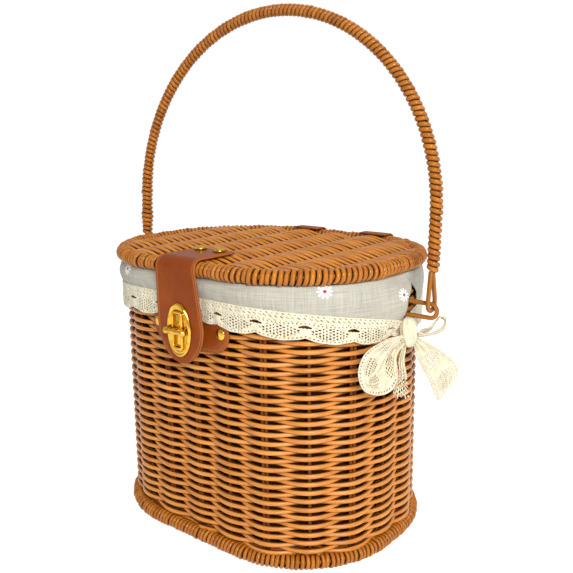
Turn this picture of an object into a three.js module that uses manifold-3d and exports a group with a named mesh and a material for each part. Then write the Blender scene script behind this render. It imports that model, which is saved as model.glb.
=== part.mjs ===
// Oval lidded picnic basket of woven strand, with a wound bail handle, a cloth liner with lace
// and a bow, and a leather strap with a turn-lock clasp.
// Millimetres, +Z up. X runs along the oval, the clasp is at the front (-Y), the lid hinges at the back.
// The origin is midway between the frontmost and the backmost point, on the surface it stands on.
import * as THREE from 'three';
import { mergeVertices } from 'three/addons/utils/BufferGeometryUtils.js';
import Module from 'manifold-3d';

const wasm = await Module();
wasm.setup();

// Clearances
const FIT = 0.3; // between pieces that touch on the real basket
const LOOSE = 0.5; // round the bail's eyes and the flap's fold
const TURN_GAP = 0.8; // between the turns of the handle's winding

// Wall: stakes on an oval, woven by one long strand
const WALL_HALF_LENGTH = 113.2; // to the middle of the stakes
const WALL_HALF_DEPTH = 81.7;
const WALL_CORNER = 71.7;
const WALL_TOP = 206.2; // top of the top hoop
const STAKE_COUNT = 21; // odd, so that one strand alternates from row to row
const STAKE_THICK = 3.0;
const STAKE_WIDE = 5.0; // every second stake is a pair of rods side by side
const HOOP_HEIGHT = 3.0;
const TOP_HOOP_HEIGHT = 6.0;
const WEAVER_HALF_THICK = 1.8;
const WEAVER_HALF_HEIGHT = 2.7;
const ROW_PITCH = 6.5;

// Wound rims
const BASE_RIM_RADIUS = 5.5;
const BASE_RIM_OUTSET_X = 5.0; // middle of the base rim, outside the stakes
const BASE_RIM_OUTSET_Y = 6.3;
const BASE_RIM_FLAT = 0.5; // worn flat where the basket stands
const BASE_RIM_TURNS = 56;
const LID_RIM_RADIUS = 5.7;
const LID_RIM_TURNS = 58;
const TURN_GROOVE = 0.9; // depth between two turns
const RIM_SIDES = 5;

// Woven panels, the lid and the base
const LID_OUTSET_X = 6.8; // middle of the lid's rim, outside the stakes
const LID_OUTSET_Y = 9.8;
const RIB_COUNT = 6;
const RIB_SPACING = 34.5;
const RIB_THICK = 3.0;
const HOOP_STEP = 12.0; // longest straight run of a panel's hoop
const LID_STRAND_WIDTH = 8.0; // two strands lying side by side
const BASE_STRAND_WIDTH = 12.0;
const PANEL_STRAND_HALF_HEIGHT = 1.7;
const STRAND_GAP = 0.5;
const BASE_LIFT = 0.9; // underside of the base above the ground

// Cloth
const CLOTH = 1.2;
const SKIRT_HEM_Z = 187.7;
const HEM_END_DROP = 18.0; // the hem hangs lower towards the handle rings
const HEM_LEVEL_SHARE = 0.25; // of each quarter, level before it begins to fall
const SKIRT_BULGE = 1.6; // the skirt stands out between the lid and the lace
const BULGE_DROP = 7.0; // below the top of the wall
const HEM_OUTSET = 0.2; // the lace holds the hem against the wall
const FOLD_DEPTH = 0.5; // half of it at the hem
const FOLD_COUNT = 14;
const STEPS_PER_FOLD = 4;
const NOTCH_HALF_WIDTH = 4.5; // slit in the skirt for each handle ring
const NOTCH_TOP_DROP = 2.0;
const LACE_HEIGHT = 19.0;
const LACE_THICK = 1.0;
const LACE_OVER_HEM = 5.0;
const LACE_GATHER = 6.5; // height lost where the lace is drawn together at the slits
const LACE_GATHER_RUN = 35.0;
const LACE_LIFT = 5.0; // drawn up behind the clasp
const LACE_LIFT_RUN = 20.0;
const SCALLOP_DEPTH = 3.0;
const SCALLOP_WIDTH = 30.0;
const SCALLOP_STEPS = 5;

// Handle: a wire bail in two rings, wound with strand
const HANDLE_HALF_SPAN = 147.0;
const HANDLE_PIVOT_Z = 190.0;
const HANDLE_CROWN_Z = 398.0; // middle of the crown, standing upright
const HANDLE_LEAN = 2.0; // degrees towards the back, as it stands
const HANDLE_WIRE = 1.6; // radius
const EYE_RADIUS = 3.9;
const EYE_HEIGHT = 24.0; // pivot to the end of the winding
const WINDING_TURNS = 64;
const WINDING_STEPS = 5;
const WINDING_RADIUS = 3.5;
const WINDING_HALF_THICK = 0.9;
const RING_WIRE = 1.6;
const RING_REACH = 4.5; // ring's outer leg past the pivot
const RING_DROP = 10.0;
const RING_CORNER = 3.0;
const RING_FOOT_DOWN = 15.0;

// Leather strap and turn-lock clasp at the front
const LEATHER = 2.0;
const STRAP_X = -2.0;
const STRAP_HALF_WIDTH = 19.0;
const STRAP_BACK_Y = -46.0;
const STRAP_RIVET_Y = -56.5;
const STRAP_RIVET_SPACING = 19.6;
const FLAP_HALF_TOP = 20.0;
const FLAP_HALF_WIDE = 23.0;
const FLAP_SHOULDER_Z = 172.0;
const FLAP_END_Z = 145.0;
const CLASP_X = 1.5; // the flap hangs a little askew
const CLASP_Z = 169.5;
const PLATE_HALF_WIDTH = 12.0;
const PLATE_HALF_HEIGHT = 20.0;
const PLATE_THICK = 2.0;
const BACK_PLATE_THICK = 0.8;
const SLOT_HALF_WIDTH = 3.6;
const SLOT_HALF_HEIGHT = 12.5;
const POST_RADIUS = 2.4;
const BAR_HALF_LENGTH = 11.0;
const BAR_RADIUS = 2.2;
const PATCH_HALF_WIDTH = 38.5;
const PATCH_HALF_HEIGHT = 15.5;
const PATCH_RIVET_X = 31.5;
const RIVET_RADIUS = 4.2;
const RIVET_HEIGHT = 1.8;
const EYELET_RADIUS = 5.0;
const EYELET_HOLE = 2.0;

// Leather hinge loops at the back
const HINGE_MIDDLE_X = 10.0;
const HINGE_SPACING = 70.0;
const HINGE_HALF_WIDTH = 13.0;
const HINGE_LEATHER = 1.4;
const HINGE_TAB_LENGTH = 9.0;
const HINGE_TOP_LENGTH = 9.0;
const HINGE_WRAP_END = -55; // degrees below the rim's middle

// Bow at the right-hand end
const BOW_Y = 0.0;
const BOW_Z = 167.0;
const KNOT_RADIUS = 7.5;
const RIBBON_WIDTH = 17.0;
const RIBBON_GATHERED = 5.0; // width where it comes out of the knot
const RIBBON_THICK = 1.2;
const FRONT_LOOP_LENGTH = 62.0;
const BACK_LOOP_LENGTH = 28.0;
const LOOP_PUFF = 8.0; // how far a loop's two sides stand apart
const FRONT_TAIL_LENGTH = 44.0;
const BACK_TAIL_LENGTH = 62.0;

// Colours
const WIRE = new THREE.MeshStandardMaterial({ color: 0x8c5a24, roughness: 0.4, metalness: 0 });
const HONEY = new THREE.MeshStandardMaterial({ color: 0xc17a35, roughness: 0.5, metalness: 0 });
const DARK_HONEY = new THREE.MeshStandardMaterial({ color: 0x9a5c26, roughness: 0.55, metalness: 0 });
const LINEN = new THREE.MeshStandardMaterial({ color: 0xc9c4b8, roughness: 0.95, metalness: 0 });
const CREAM = new THREE.MeshStandardMaterial({ color: 0xe9dfc4, roughness: 0.95, metalness: 0 });
const TAN = new THREE.MeshStandardMaterial({ color: 0x8a4a1f, roughness: 0.5, metalness: 0 });
const BRASS = new THREE.MeshStandardMaterial({ color: 0xd4a747, roughness: 0.25, metalness: 1 });

// Rounded oblong in plan, measured along its edge from the front middle towards +X
class Oval {
  constructor(halfLength, halfDepth, corner) {
    this.a = halfLength;
    this.b = halfDepth;
    this.r = corner;
    this.runX = halfLength - corner;
    this.runY = halfDepth - corner;
    this.quarter = this.runX + (Math.PI / 2) * corner + this.runY;
    this.length = 4 * this.quarter;
  }

  grow(distance) {
    return new Oval(this.a + distance, this.b + distance, this.r + distance);
  }

  // Point and outward direction at a distance along the edge
  at(distance) {
    const along = ((distance % this.length) + this.length) % this.length;
    const half = this.length / 2;
    const back = along >= half;
    const run = back ? along - half : along;
    const mirrored = run > this.quarter;
    const s = mirrored ? half - run : run;
    let p;
    if (s < this.runX) {
      p = { x: s, y: -this.b, nx: 0, ny: -1 };
    } else if (s < this.quarter - this.runY) {
      const turn = (s - this.runX) / this.r;
      const nx = Math.sin(turn);
      const ny = -Math.cos(turn);
      p = { x: this.runX + this.r * nx, y: -this.runY + this.r * ny, nx, ny };
    } else {
      p = { x: this.a, y: s - this.quarter, nx: 1, ny: 0 };
    }
    if (mirrored) p = { x: p.x, y: -p.y, nx: p.nx, ny: -p.ny };
    return back ? { x: -p.x, y: -p.y, nx: -p.nx, ny: -p.ny } : p;
  }

  // Distance along the front edge to a given x
  frontDistance(x) {
    const across = Math.abs(x);
    const past = across - this.runX;
    const s = past <= 0 ? across : this.runX + this.r * Math.asin(past / this.r);
    return Math.sign(x) * s;
  }

  // Half-length of the oval at a given y
  reachX(y) {
    const past = Math.max(Math.abs(y) - this.runY, 0);
    return this.runX + Math.sqrt(Math.max(this.r * this.r - past * past, 0));
  }
}

const vec = (x, y, z) => new THREE.Vector3(x, y, z);

function geometryFrom(points, index) {
  const positions = new Float32Array(points.length * 3);
  points.forEach((p, i) => p.toArray(positions, 3 * i));
  const geometry = new THREE.BufferGeometry();
  geometry.setAttribute('position', new THREE.BufferAttribute(positions, 3));
  geometry.setIndex(index);
  return geometry;
}

// Volume of a closed mesh, negative when its faces point inwards
function signedVolume(points, index) {
  let volume = 0;
  for (let i = 0; i < index.length; i += 3) {
    const [p, q, r] = [points[index[i]], points[index[i + 1]], points[index[i + 2]]];
    volume += p.dot(q.clone().cross(r)) / 6;
  }
  return volume;
}

function facingOut(points, index) {
  if (signedVolume(points, index) < 0) {
    for (let i = 0; i < index.length; i += 3) [index[i], index[i + 1]] = [index[i + 1], index[i]];
  }
  return geometryFrom(points, index);
}

const quad = (index, a, b, c, d) => index.push(a, b, c, a, c, d);

// Skin over a row of rings with equal counts, closed on itself or capped at both ends
function loft(rings, closed = false) {
  const sides = rings[0].length;
  const points = rings.flat();
  const index = [];
  const spans = closed ? rings.length : rings.length - 1;
  for (let k = 0; k < spans; k += 1) {
    const here = k * sides;
    const next = ((k + 1) % rings.length) * sides;
    for (let j = 0; j < sides; j += 1) {
      const j1 = (j + 1) % sides;
      quad(index, here + j, next + j, next + j1, here + j1);
    }
  }
  if (!closed) {
    const last = (rings.length - 1) * sides;
    for (let j = 1; j < sides - 1; j += 1) {
      index.push(0, j, j + 1);
      index.push(last, last + j + 1, last + j);
    }
  }
  return facingOut(points, index);
}

// Round wire along a line of points, its sections turned as little as possible
function wire(points, radius, sides) {
  const tangents = points.map((p, i) => {
    const before = points[Math.max(i - 1, 0)];
    const after = points[Math.min(i + 1, points.length - 1)];
    return after.clone().sub(before).normalize();
  });
  const seed = Math.abs(tangents[0].y) < 0.9 ? vec(0, 1, 0) : vec(1, 0, 0);
  let normal = seed.clone().projectOnPlane(tangents[0]).normalize();
  const rings = points.map((p, i) => {
    normal = normal.clone().projectOnPlane(tangents[i]).normalize();
    const other = tangents[i].clone().cross(normal);
    return Array.from({ length: sides }, (_, j) => {
      const turn = (2 * Math.PI * j) / sides;
      return p.clone().addScaledVector(normal, radius * Math.cos(turn))
        .addScaledVector(other, radius * Math.sin(turn));
    });
  });
  return loft(rings);
}

// Rim: a hoop wound all round by one strand, whose turns stand out as an unbroken helical ridge
function woundRim(oval, z, radius, turns) {
  const points = [];
  const index = [];
  const pitch = oval.length / turns;
  const lines = 2 * turns;
  for (let k = 0; k < lines; k += 1) {
    const r = k % 2 === 0 ? radius : radius - TURN_GROOVE;
    for (let j = 0; j < RIM_SIDES; j += 1) {
      const p = oval.at((k / 2 + j / RIM_SIDES) * pitch);
      const turn = -Math.PI / 2 + (2 * Math.PI * j) / RIM_SIDES;
      const out = r * Math.cos(turn);
      points.push(vec(p.x + p.nx * out, p.y + p.ny * out, z + r * Math.sin(turn)));
    }
  }
  const at = (k, j) => {
    const line = j === RIM_SIDES ? k + 2 : k;
    return (line % lines) * RIM_SIDES + (j % RIM_SIDES);
  };
  for (let k = 0; k < lines; k += 1) {
    for (let j = 0; j < RIM_SIDES; j += 1) {
      quad(index, at(k, j), at(k + 1, j), at(k + 1, j + 1), at(k, j + 1));
    }
  }
  return facingOut(points, index);
}

// Four corners of a flat hoop's section at a point of its oval
function hoopSection(p, halfThick, low, high) {
  const at = (out, z) => vec(p.x + p.nx * out, p.y + p.ny * out, z);
  return [at(-halfThick, low), at(halfThick, low), at(halfThick, high), at(-halfThick, high)];
}

// Outer skin of a closed hoop of four-cornered sections, leaving out the faces that rods leave from
function hoopSkin(index, first, count, leavesOut) {
  for (let k = 0; k < count; k += 1) {
    for (let i = 0; i < 4; i += 1) {
      if (leavesOut(k, i)) continue;
      const here = first + 4 * k;
      const next = first + 4 * ((k + 1) % count);
      const i1 = (i + 1) % 4;
      quad(index, here + i, next + i, next + i1, here + i1);
    }
  }
}

// Wall frame: a bottom hoop and a top hoop joined by upright stakes, single and paired in turn
function stakeCage(oval, lowZ, topZ) {
  const points = [];
  const index = [];
  const spacing = oval.length / STAKE_COUNT;
  const steps = [];
  for (let i = 0; i < STAKE_COUNT; i += 1) {
    const half = (i % 2 === 0 ? STAKE_WIDE : STAKE_THICK) / 2;
    steps.push(i * spacing - half, i * spacing + half);
  }
  const half = STAKE_THICK / 2;
  const lower = steps.map((s) => hoopSection(oval.at(s), half, lowZ, lowZ + HOOP_HEIGHT));
  const upper = steps.map((s) => hoopSection(oval.at(s), half, topZ - TOP_HOOP_HEIGHT, topZ));
  points.push(...lower.flat(), ...upper.flat());
  const count = steps.length;
  const up = 4 * count;
  hoopSkin(index, 0, count, (k, i) => k % 2 === 0 && i === 2);
  hoopSkin(index, up, count, (k, i) => k % 2 === 0 && i === 0);
  for (let k = 0; k < count; k += 2) {
    const [lowA, lowB] = [4 * k, 4 * (k + 1)];
    const [topA, topB] = [up + lowA, up + lowB];
    quad(index, lowA + 2, lowB + 2, topB + 1, topA + 1);
    quad(index, lowB + 3, lowA + 3, topA, topB);
    quad(index, lowA + 3, lowA + 2, topA + 1, topA);
    quad(index, lowB + 2, lowB + 3, topB, topB + 1);
  }
  return facingOut(points, index);
}

const ribPlaces = Array.from({ length: RIB_COUNT }, (_, i) => (i - (RIB_COUNT - 1) / 2) * RIB_SPACING);

// Panel frame: an oval hoop with straight ribs across it, whose inner edge follows the given oval
function ribbedHoop(inner, z) {
  const half = RIB_THICK / 2;
  const edges = ribPlaces.flatMap((x) => [inner.frontDistance(x - half), inner.frontDistance(x + half)]);
  const across = [...edges].reverse().map((s) => inner.length / 2 - s);
  const stops = [...edges, ...across, edges[0] + inner.length];
  const steps = [];
  const ribStarts = [];
  for (let i = 0; i + 1 < stops.length; i += 1) {
    const onRib = i % 2 === 0;
    if (onRib) ribStarts.push(steps.length);
    const parts = onRib ? 1 : Math.ceil((stops[i + 1] - stops[i]) / HOOP_STEP);
    for (let j = 0; j < parts; j += 1) steps.push(stops[i] + ((stops[i + 1] - stops[i]) * j) / parts);
  }

  const middle = inner.grow(half);
  const points = steps.flatMap((s) => {
    const p = inner.at(s);
    const onMiddle = { ...p, x: p.x + p.nx * half, y: p.y + p.ny * half };
    return hoopSection(onMiddle, half, z - half, z + half);
  });
  const index = [];
  const ribFront = (i) => ribStarts[i];
  const ribBack = (i) => ribStarts[2 * RIB_COUNT - 1 - i];
  const openSteps = new Set(ribStarts);
  hoopSkin(index, 0, steps.length, (k, i) => i === 3 && openSteps.has(k));
  ribPlaces.forEach((_, i) => {
    const [f0, f1] = [4 * ribFront(i), 4 * (ribFront(i) + 1)];
    const [k0, k1] = [4 * ribBack(i), 4 * (ribBack(i) + 1)];
    quad(index, f0 + 3, f1 + 3, k0 + 3, k1 + 3);
    quad(index, f0, k1, k0, f1);
    quad(index, k1, f0, f0 + 3, k1 + 3);
    quad(index, f1, k0, k0 + 3, f1 + 3);
  });
  return { geometry: facingOut(points, index), outer: middle.grow(half) };
}

// How far a strand's middle runs from the middle of what it passes, on straight runs between crossings,
// which also cut across the corner where the wall bends
function weaveReach(thick, wide, strandHalf, spacing, bend = Infinity) {
  const cut = ((wide / 2) * (spacing - wide / 2)) / (2 * bend);
  const level = thick / 2 + FIT + strandHalf + cut;
  return level / (1 - wide / spacing);
}

// Side weaver: one strand that climbs in a spiral, passing outside and inside the stakes in turn
function sideWeaver(oval, firstZ, lastZ) {
  const spacing = oval.length / STAKE_COUNT;
  const reach = weaveReach(STAKE_THICK, STAKE_WIDE, WEAVER_HALF_THICK, spacing, oval.r);
  const rows = Math.floor((lastZ - firstZ) / ROW_PITCH);
  const rings = [];
  for (let i = 0; i <= rows * STAKE_COUNT; i += 1) {
    const p = oval.at(i * spacing);
    const out = i % 2 === 0 ? reach : -reach;
    const z = firstZ + (ROW_PITCH * i) / STAKE_COUNT;
    const at = (more, rise) => vec(p.x + p.nx * (out + more), p.y + p.ny * (out + more), z + rise);
    rings.push([
      at(-WEAVER_HALF_THICK, 0),
      at(0, -WEAVER_HALF_HEIGHT),
      at(WEAVER_HALF_THICK, 0),
      at(0, WEAVER_HALF_HEIGHT),
    ]);
  }
  return { geometry: loft(rings), reach: reach + WEAVER_HALF_THICK };
}

// Panel weaver: one flat strand laid to and fro along X, over and under the ribs in turn
function panelWeaver(edge, z, width) {
  const reach = weaveReach(RIB_THICK, RIB_THICK, PANEL_STRAND_HALF_HEIGHT, RIB_SPACING);
  const half = width / 2;
  const pitch = width + STRAND_GAP;
  const rows = Math.floor((2 * edge.b + STRAND_GAP) / pitch);
  const rowY = (k) => (k - (rows - 1) / 2) * pitch;
  const rowReach = (k) => edge.reachX(Math.abs(rowY(k)) + half);
  const levelRun = RIB_THICK / 2 + FIT;
  const besideRib = levelRun + 1.5 * half;
  const shortOfRib = (x) => {
    const inTheWay = ribPlaces.find((rib) => Math.abs(rib - x) < besideRib);
    return inTheWay === undefined ? x : inTheWay - besideRib;
  };
  const turnX = (k) => shortOfRib(Math.min(rowReach(k), rowReach(k + 1)) - half);
  const path = [];
  for (let k = 0; k < rows; k += 1) {
    const way = k % 2 === 0 ? 1 : -1;
    const from = -way * (k > 0 ? turnX(k - 1) : shortOfRib(rowReach(k)));
    const to = way * (k < rows - 1 ? turnX(k) : shortOfRib(rowReach(k)));
    path.push(vec(from, rowY(k), z));
    const ribs = way > 0 ? ribPlaces : [...ribPlaces].reverse();
    ribs.forEach((x) => {
      const rib = ribPlaces.indexOf(x);
      const [fromStart, toEnd] = [(x - from) * way, (to - x) * way];
      const nearest = 0.99 * besideRib;
      if (fromStart < nearest || toEnd < nearest) return;
      const level = z + ((rib + k) % 2 === 0 ? reach : -reach);
      if (fromStart < RIB_SPACING / 2) path.push(vec(x - way * levelRun, rowY(k), level));
      path.push(vec(x, rowY(k), level));
      if (toEnd < RIB_SPACING / 2) path.push(vec(x + way * levelRun, rowY(k), level));
    });
    path.push(vec(to, rowY(k), z));
  }
  const left = (p, q) => vec(p.y - q.y, q.x - p.x, 0).normalize();
  const rings = path.map((p, i) => {
    const before = left(path[Math.max(i - 1, 0)], path[Math.max(i, 1)]);
    const after = left(path[Math.min(i, path.length - 2)], path[Math.min(i + 1, path.length - 1)]);
    const mitre = before.clone().add(after).multiplyScalar(half / (1 + before.dot(after)));
    const at = (side, rise) => p.clone().addScaledVector(mitre, side).add(vec(0, 0, rise));
    const h = PANEL_STRAND_HALF_HEIGHT;
    return [at(-1, -h), at(1, -h), at(1, h), at(-1, h)];
  });
  return { geometry: loft(rings), halfHeight: reach + PANEL_STRAND_HALF_HEIGHT };
}

// Closed mesh to a solid for joining and cutting, and back
function solid(geometry) {
  const bare = geometry.clone();
  bare.deleteAttribute('normal');
  bare.deleteAttribute('uv');
  const merged = mergeVertices(bare, 1e-4);
  const mesh = new wasm.Mesh({
    numProp: 3,
    vertProperties: new Float32Array(merged.attributes.position.array),
    triVerts: new Uint32Array(merged.index.array),
  });
  return new wasm.Manifold(mesh);
}

function meshed(manifold) {
  const mesh = manifold.getMesh();
  const geometry = new THREE.BufferGeometry();
  geometry.setAttribute('position', new THREE.BufferAttribute(new Float32Array(mesh.vertProperties), 3));
  geometry.setIndex(Array.from(mesh.triVerts));
  return geometry;
}

function block(low, high) {
  const size = high.clone().sub(low);
  const middle = low.clone().add(high).multiplyScalar(0.5);
  return solid(new THREE.BoxGeometry(size.x, size.y, size.z).translate(middle.x, middle.y, middle.z));
}

const basket = new THREE.Group();
function add(name, geometry, material, parent = basket) {
  const mesh = new THREE.Mesh(geometry, material);
  mesh.name = name;
  parent.add(mesh);
  return mesh;
}

// Base: a wound rim to stand on, with a woven floor inside it
const wallOval = new Oval(WALL_HALF_LENGTH, WALL_HALF_DEPTH, WALL_CORNER);
const baseRimOval = new Oval(
  WALL_HALF_LENGTH + BASE_RIM_OUTSET_X,
  WALL_HALF_DEPTH + BASE_RIM_OUTSET_Y,
  WALL_CORNER + BASE_RIM_OUTSET_Y,
);
const baseRimZ = BASE_RIM_RADIUS - BASE_RIM_FLAT;
const ground = block(vec(-500, -500, -50), vec(500, 500, 0));
const baseRim = solid(woundRim(baseRimOval, baseRimZ, BASE_RIM_RADIUS, BASE_RIM_TURNS)).subtract(ground);
add('base_rim', meshed(baseRim), HONEY);

const baseInner = baseRimOval.grow(-BASE_RIM_RADIUS - FIT - RIB_THICK);
const baseWeaver = panelWeaver(baseInner.grow(-FIT), 0, BASE_STRAND_WIDTH);
const baseZ = BASE_LIFT + baseWeaver.halfHeight;
add('base_ribs', ribbedHoop(baseInner, baseZ).geometry, DARK_HONEY);
add('base_weaver', baseWeaver.geometry.translate(0, 0, baseZ), HONEY);

// Wall: the stakes stand on the base rim, and one strand is woven between them from bottom to top
const stakeToRim = Math.min(BASE_RIM_OUTSET_X, BASE_RIM_OUTSET_Y) - STAKE_THICK / 2;
const rimSurface = Math.sqrt(BASE_RIM_RADIUS ** 2 - stakeToRim ** 2);
const cageZ = baseRimZ + rimSurface + FIT;
add('stake_frame', stakeCage(wallOval, cageZ, WALL_TOP), DARK_HONEY);
const firstRowZ = cageZ + HOOP_HEIGHT + FIT + WEAVER_HALF_HEIGHT;
const lastRowZ = WALL_TOP - TOP_HOOP_HEIGHT - FIT - WEAVER_HALF_HEIGHT;
const weaver = sideWeaver(wallOval, firstRowZ, lastRowZ);
add('side_weaver', weaver.geometry, HONEY);

// Lid: a wound rim with a woven panel inside it
const lidRimOval = new Oval(
  WALL_HALF_LENGTH + LID_OUTSET_X,
  WALL_HALF_DEPTH + LID_OUTSET_Y,
  WALL_CORNER + LID_OUTSET_Y,
);
const clothTop = WALL_TOP + FIT + CLOTH;
const lidZ = clothTop + FIT + LID_RIM_RADIUS;
add('lid_rim', woundRim(lidRimOval, lidZ, LID_RIM_RADIUS, LID_RIM_TURNS), HONEY);
const lidInner = lidRimOval.grow(-LID_RIM_RADIUS - FIT - RIB_THICK);
add('lid_ribs', ribbedHoop(lidInner, lidZ).geometry, DARK_HONEY);
const lidWeaver = panelWeaver(lidInner.grow(-FIT), lidZ, LID_STRAND_WIDTH);
add('lid_weaver', lidWeaver.geometry, HONEY);
const lidTop = lidZ + Math.max(LID_RIM_RADIUS, lidWeaver.halfHeight);

// Liner: a cloth bag of a floor and two walls, with a skirt sewn on along the top of the wall, which hangs
// outside it. The hem lies level in the middle of the front and the back and falls towards the slits.
const floorZ = baseZ + baseWeaver.halfHeight + FIT;
const floorTop = floorZ + CLOTH;
const wallSide = weaver.reach + FIT;
function endDrop(share) {
  const half = ((share % 0.5) + 0.5) % 0.5;
  const fromMiddle = 1 - Math.abs(1 - 4 * half);
  const fall = Math.max((fromMiddle - HEM_LEVEL_SHARE) / (1 - HEM_LEVEL_SHARE), 0);
  return HEM_END_DROP * fall ** 1.9;
}
function clothRing(offset, z, fold = 0, hem = false) {
  const count = FOLD_COUNT * STEPS_PER_FOLD;
  const edge = wallOval.grow(offset);
  return Array.from({ length: count }, (_, j) => {
    const p = edge.at((edge.length * j) / count);
    const out = fold * (1 - Math.cos((2 * Math.PI * j) / STEPS_PER_FOLD));
    return vec(p.x + p.nx * out, p.y + p.ny * out, hem ? z - endDrop(j / count) : z);
  });
}
const foldUnder = WALL_TOP + FIT;
const bulgeSide = wallSide + SKIRT_BULGE;
const bulgeZ = WALL_TOP - BULGE_DROP;
const hemSide = wallSide + HEM_OUTSET;
const hemFold = FOLD_DEPTH / 2;
const drawnInZ = SKIRT_HEM_Z + LACE_OVER_HEM + FIT;
const bagRings = [
  clothRing(-wallSide, floorZ),
  clothRing(-wallSide, foldUnder),
  clothRing(-FIT / 2, foldUnder),
  clothRing(-FIT / 2, clothTop),
  clothRing(-wallSide - CLOTH, clothTop),
  clothRing(-wallSide - CLOTH, floorZ),
];
const skirtRings = [
  clothRing(FIT / 2, foldUnder),
  clothRing(wallSide, foldUnder),
  clothRing(bulgeSide, bulgeZ, FOLD_DEPTH),
  clothRing(hemSide, drawnInZ, hemFold, true),
  clothRing(hemSide, SKIRT_HEM_Z, hemFold, true),
  clothRing(hemSide + CLOTH, SKIRT_HEM_Z, hemFold, true),
  clothRing(hemSide + CLOTH, drawnInZ, hemFold, true),
  clothRing(bulgeSide + CLOTH, bulgeZ, FOLD_DEPTH),
  clothRing(wallSide + CLOTH, clothTop),
  clothRing(FIT / 2, clothTop),
];
const bag = solid(loft(bagRings, true));
let skirt = solid(loft(skirtRings, true));
const notchX = WALL_HALF_LENGTH + weaver.reach;
[-1, 1].forEach((side) => {
  const near = side * notchX;
  const far = side * HANDLE_HALF_SPAN;
  const low = vec(Math.min(near, far), -NOTCH_HALF_WIDTH, SKIRT_HEM_Z - HEM_END_DROP - CLOTH);
  const high = vec(Math.max(near, far), NOTCH_HALF_WIDTH, foldUnder - NOTCH_TOP_DROP);
  skirt = skirt.subtract(block(low, high));
});
const floorIn = -wallSide - CLOTH - FIT;
add('liner_floor', loft([clothRing(floorIn, floorZ), clothRing(floorIn, floorTop)]), LINEN);
[['front', -1], ['back', 1]].forEach(([name, side]) => {
  add(`liner_${name}`, meshed(bag.trimByPlane([0, side, 0], FIT / 2)), LINEN);
  add(`skirt_${name}`, meshed(skirt.trimByPlane([0, side, 0], FIT / 2)), LINEN);
});

// Lace: a scalloped band sewn over the hem of the skirt, front and back, open at the handle rings,
// which lies over the top of the clasp's patch
const hemOuter = hemSide + CLOTH + 2 * hemFold;
const patchOuter = wallSide + LEATHER;
const laceIn = Math.max(hemOuter, patchOuter) + FIT;
const laceOval = wallOval.grow(laceIn + LACE_THICK / 2);
function laceBand(from, to, lift) {
  const count = SCALLOP_STEPS * Math.round((to - from) / SCALLOP_WIDTH);
  const rings = [];
  for (let i = 0; i <= count; i += 1) {
    const s = from + ((to - from) * i) / count;
    const nearEnd = Math.max(1 - Math.min(s - from, to - s) / LACE_GATHER_RUN, 0);
    const nearClasp = Math.max(1 - Math.abs(s - CLASP_X) / LACE_LIFT_RUN, 0);
    const wave = (1 + Math.cos((2 * Math.PI * i) / SCALLOP_STEPS)) / 2;
    const top = SKIRT_HEM_Z + LACE_OVER_HEM - endDrop(s / laceOval.length);
    const height = LACE_HEIGHT - LACE_GATHER * nearEnd - lift * nearClasp - SCALLOP_DEPTH * wave;
    rings.push(hoopSection(laceOval.at(s), LACE_THICK / 2, top - height, top));
  }
  return loft(rings);
}
const slit = laceOval.quarter - NOTCH_HALF_WIDTH;
add('lace_front', laceBand(-slit, slit, LACE_LIFT), CREAM);
add('lace_back', laceBand(laceOval.length / 2 - slit, laceOval.length / 2 + slit, 0), CREAM);

// Handle rings: wire staples at the two ends of the wall, hooked against the top hoop,
// with the lower foot lying along the weave
const footX = WALL_HALF_LENGTH + wallSide + RING_WIRE;
const hookX = WALL_HALF_LENGTH + STAKE_THICK / 2 + FIT + RING_WIRE; // against the top hoop
const hookZ = WALL_TOP - TOP_HOOP_HEIGHT;
const ringX = HANDLE_HALF_SPAN + RING_REACH;
function arc(cx, cz, radius, fromDeg, toDeg, steps) {
  return Array.from({ length: steps + 1 }, (_, i) => {
    const turn = THREE.MathUtils.degToRad(fromDeg + ((toDeg - fromDeg) * i) / steps);
    return vec(cx + radius * Math.cos(turn), 0, cz + radius * Math.sin(turn));
  });
}
const ringTop = HANDLE_PIVOT_Z;
const ringLow = HANDLE_PIVOT_Z - RING_DROP;
const ringPath = [
  vec(hookX, 0, hookZ + RING_CORNER),
  vec(hookX, 0, hookZ),
  vec(footX, 0, hookZ - (footX - hookX)),
  ...arc(footX + RING_CORNER, ringTop + RING_CORNER, RING_CORNER, 180, 270, 3),
  ...arc(ringX - RING_CORNER, ringTop - RING_CORNER, RING_CORNER, 90, 0, 3),
  ...arc(ringX - RING_CORNER, ringLow + RING_CORNER, RING_CORNER, 0, -90, 3),
  ...arc(footX + RING_CORNER, ringLow - RING_CORNER, RING_CORNER, 90, 180, 3),
  vec(footX, 0, ringLow - RING_FOOT_DOWN),
];
[['left', -1], ['right', 1]].forEach(([side, sign]) => {
  const path = ringPath.map((p) => vec(sign * p.x, p.y, p.z));
  add(`handle_ring_${side}`, wire(path, RING_WIRE, 6), WIRE);
});

// Handle: one wire bent to an arch, with an eye round each ring, and a strand wound along it
const handle = new THREE.Group();
handle.position.set(0, 0, HANDLE_PIVOT_Z);
handle.rotation.x = THREE.MathUtils.degToRad(-HANDLE_LEAN);
basket.add(handle);
const archRise = HANDLE_CROWN_Z - HANDLE_PIVOT_Z - HANDLE_HALF_SPAN;
const legTop = archRise;
const legLength = legTop - EYE_HEIGHT;
const archLength = Math.PI * HANDLE_HALF_SPAN;
const woundLength = 2 * legLength + archLength;

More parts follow.
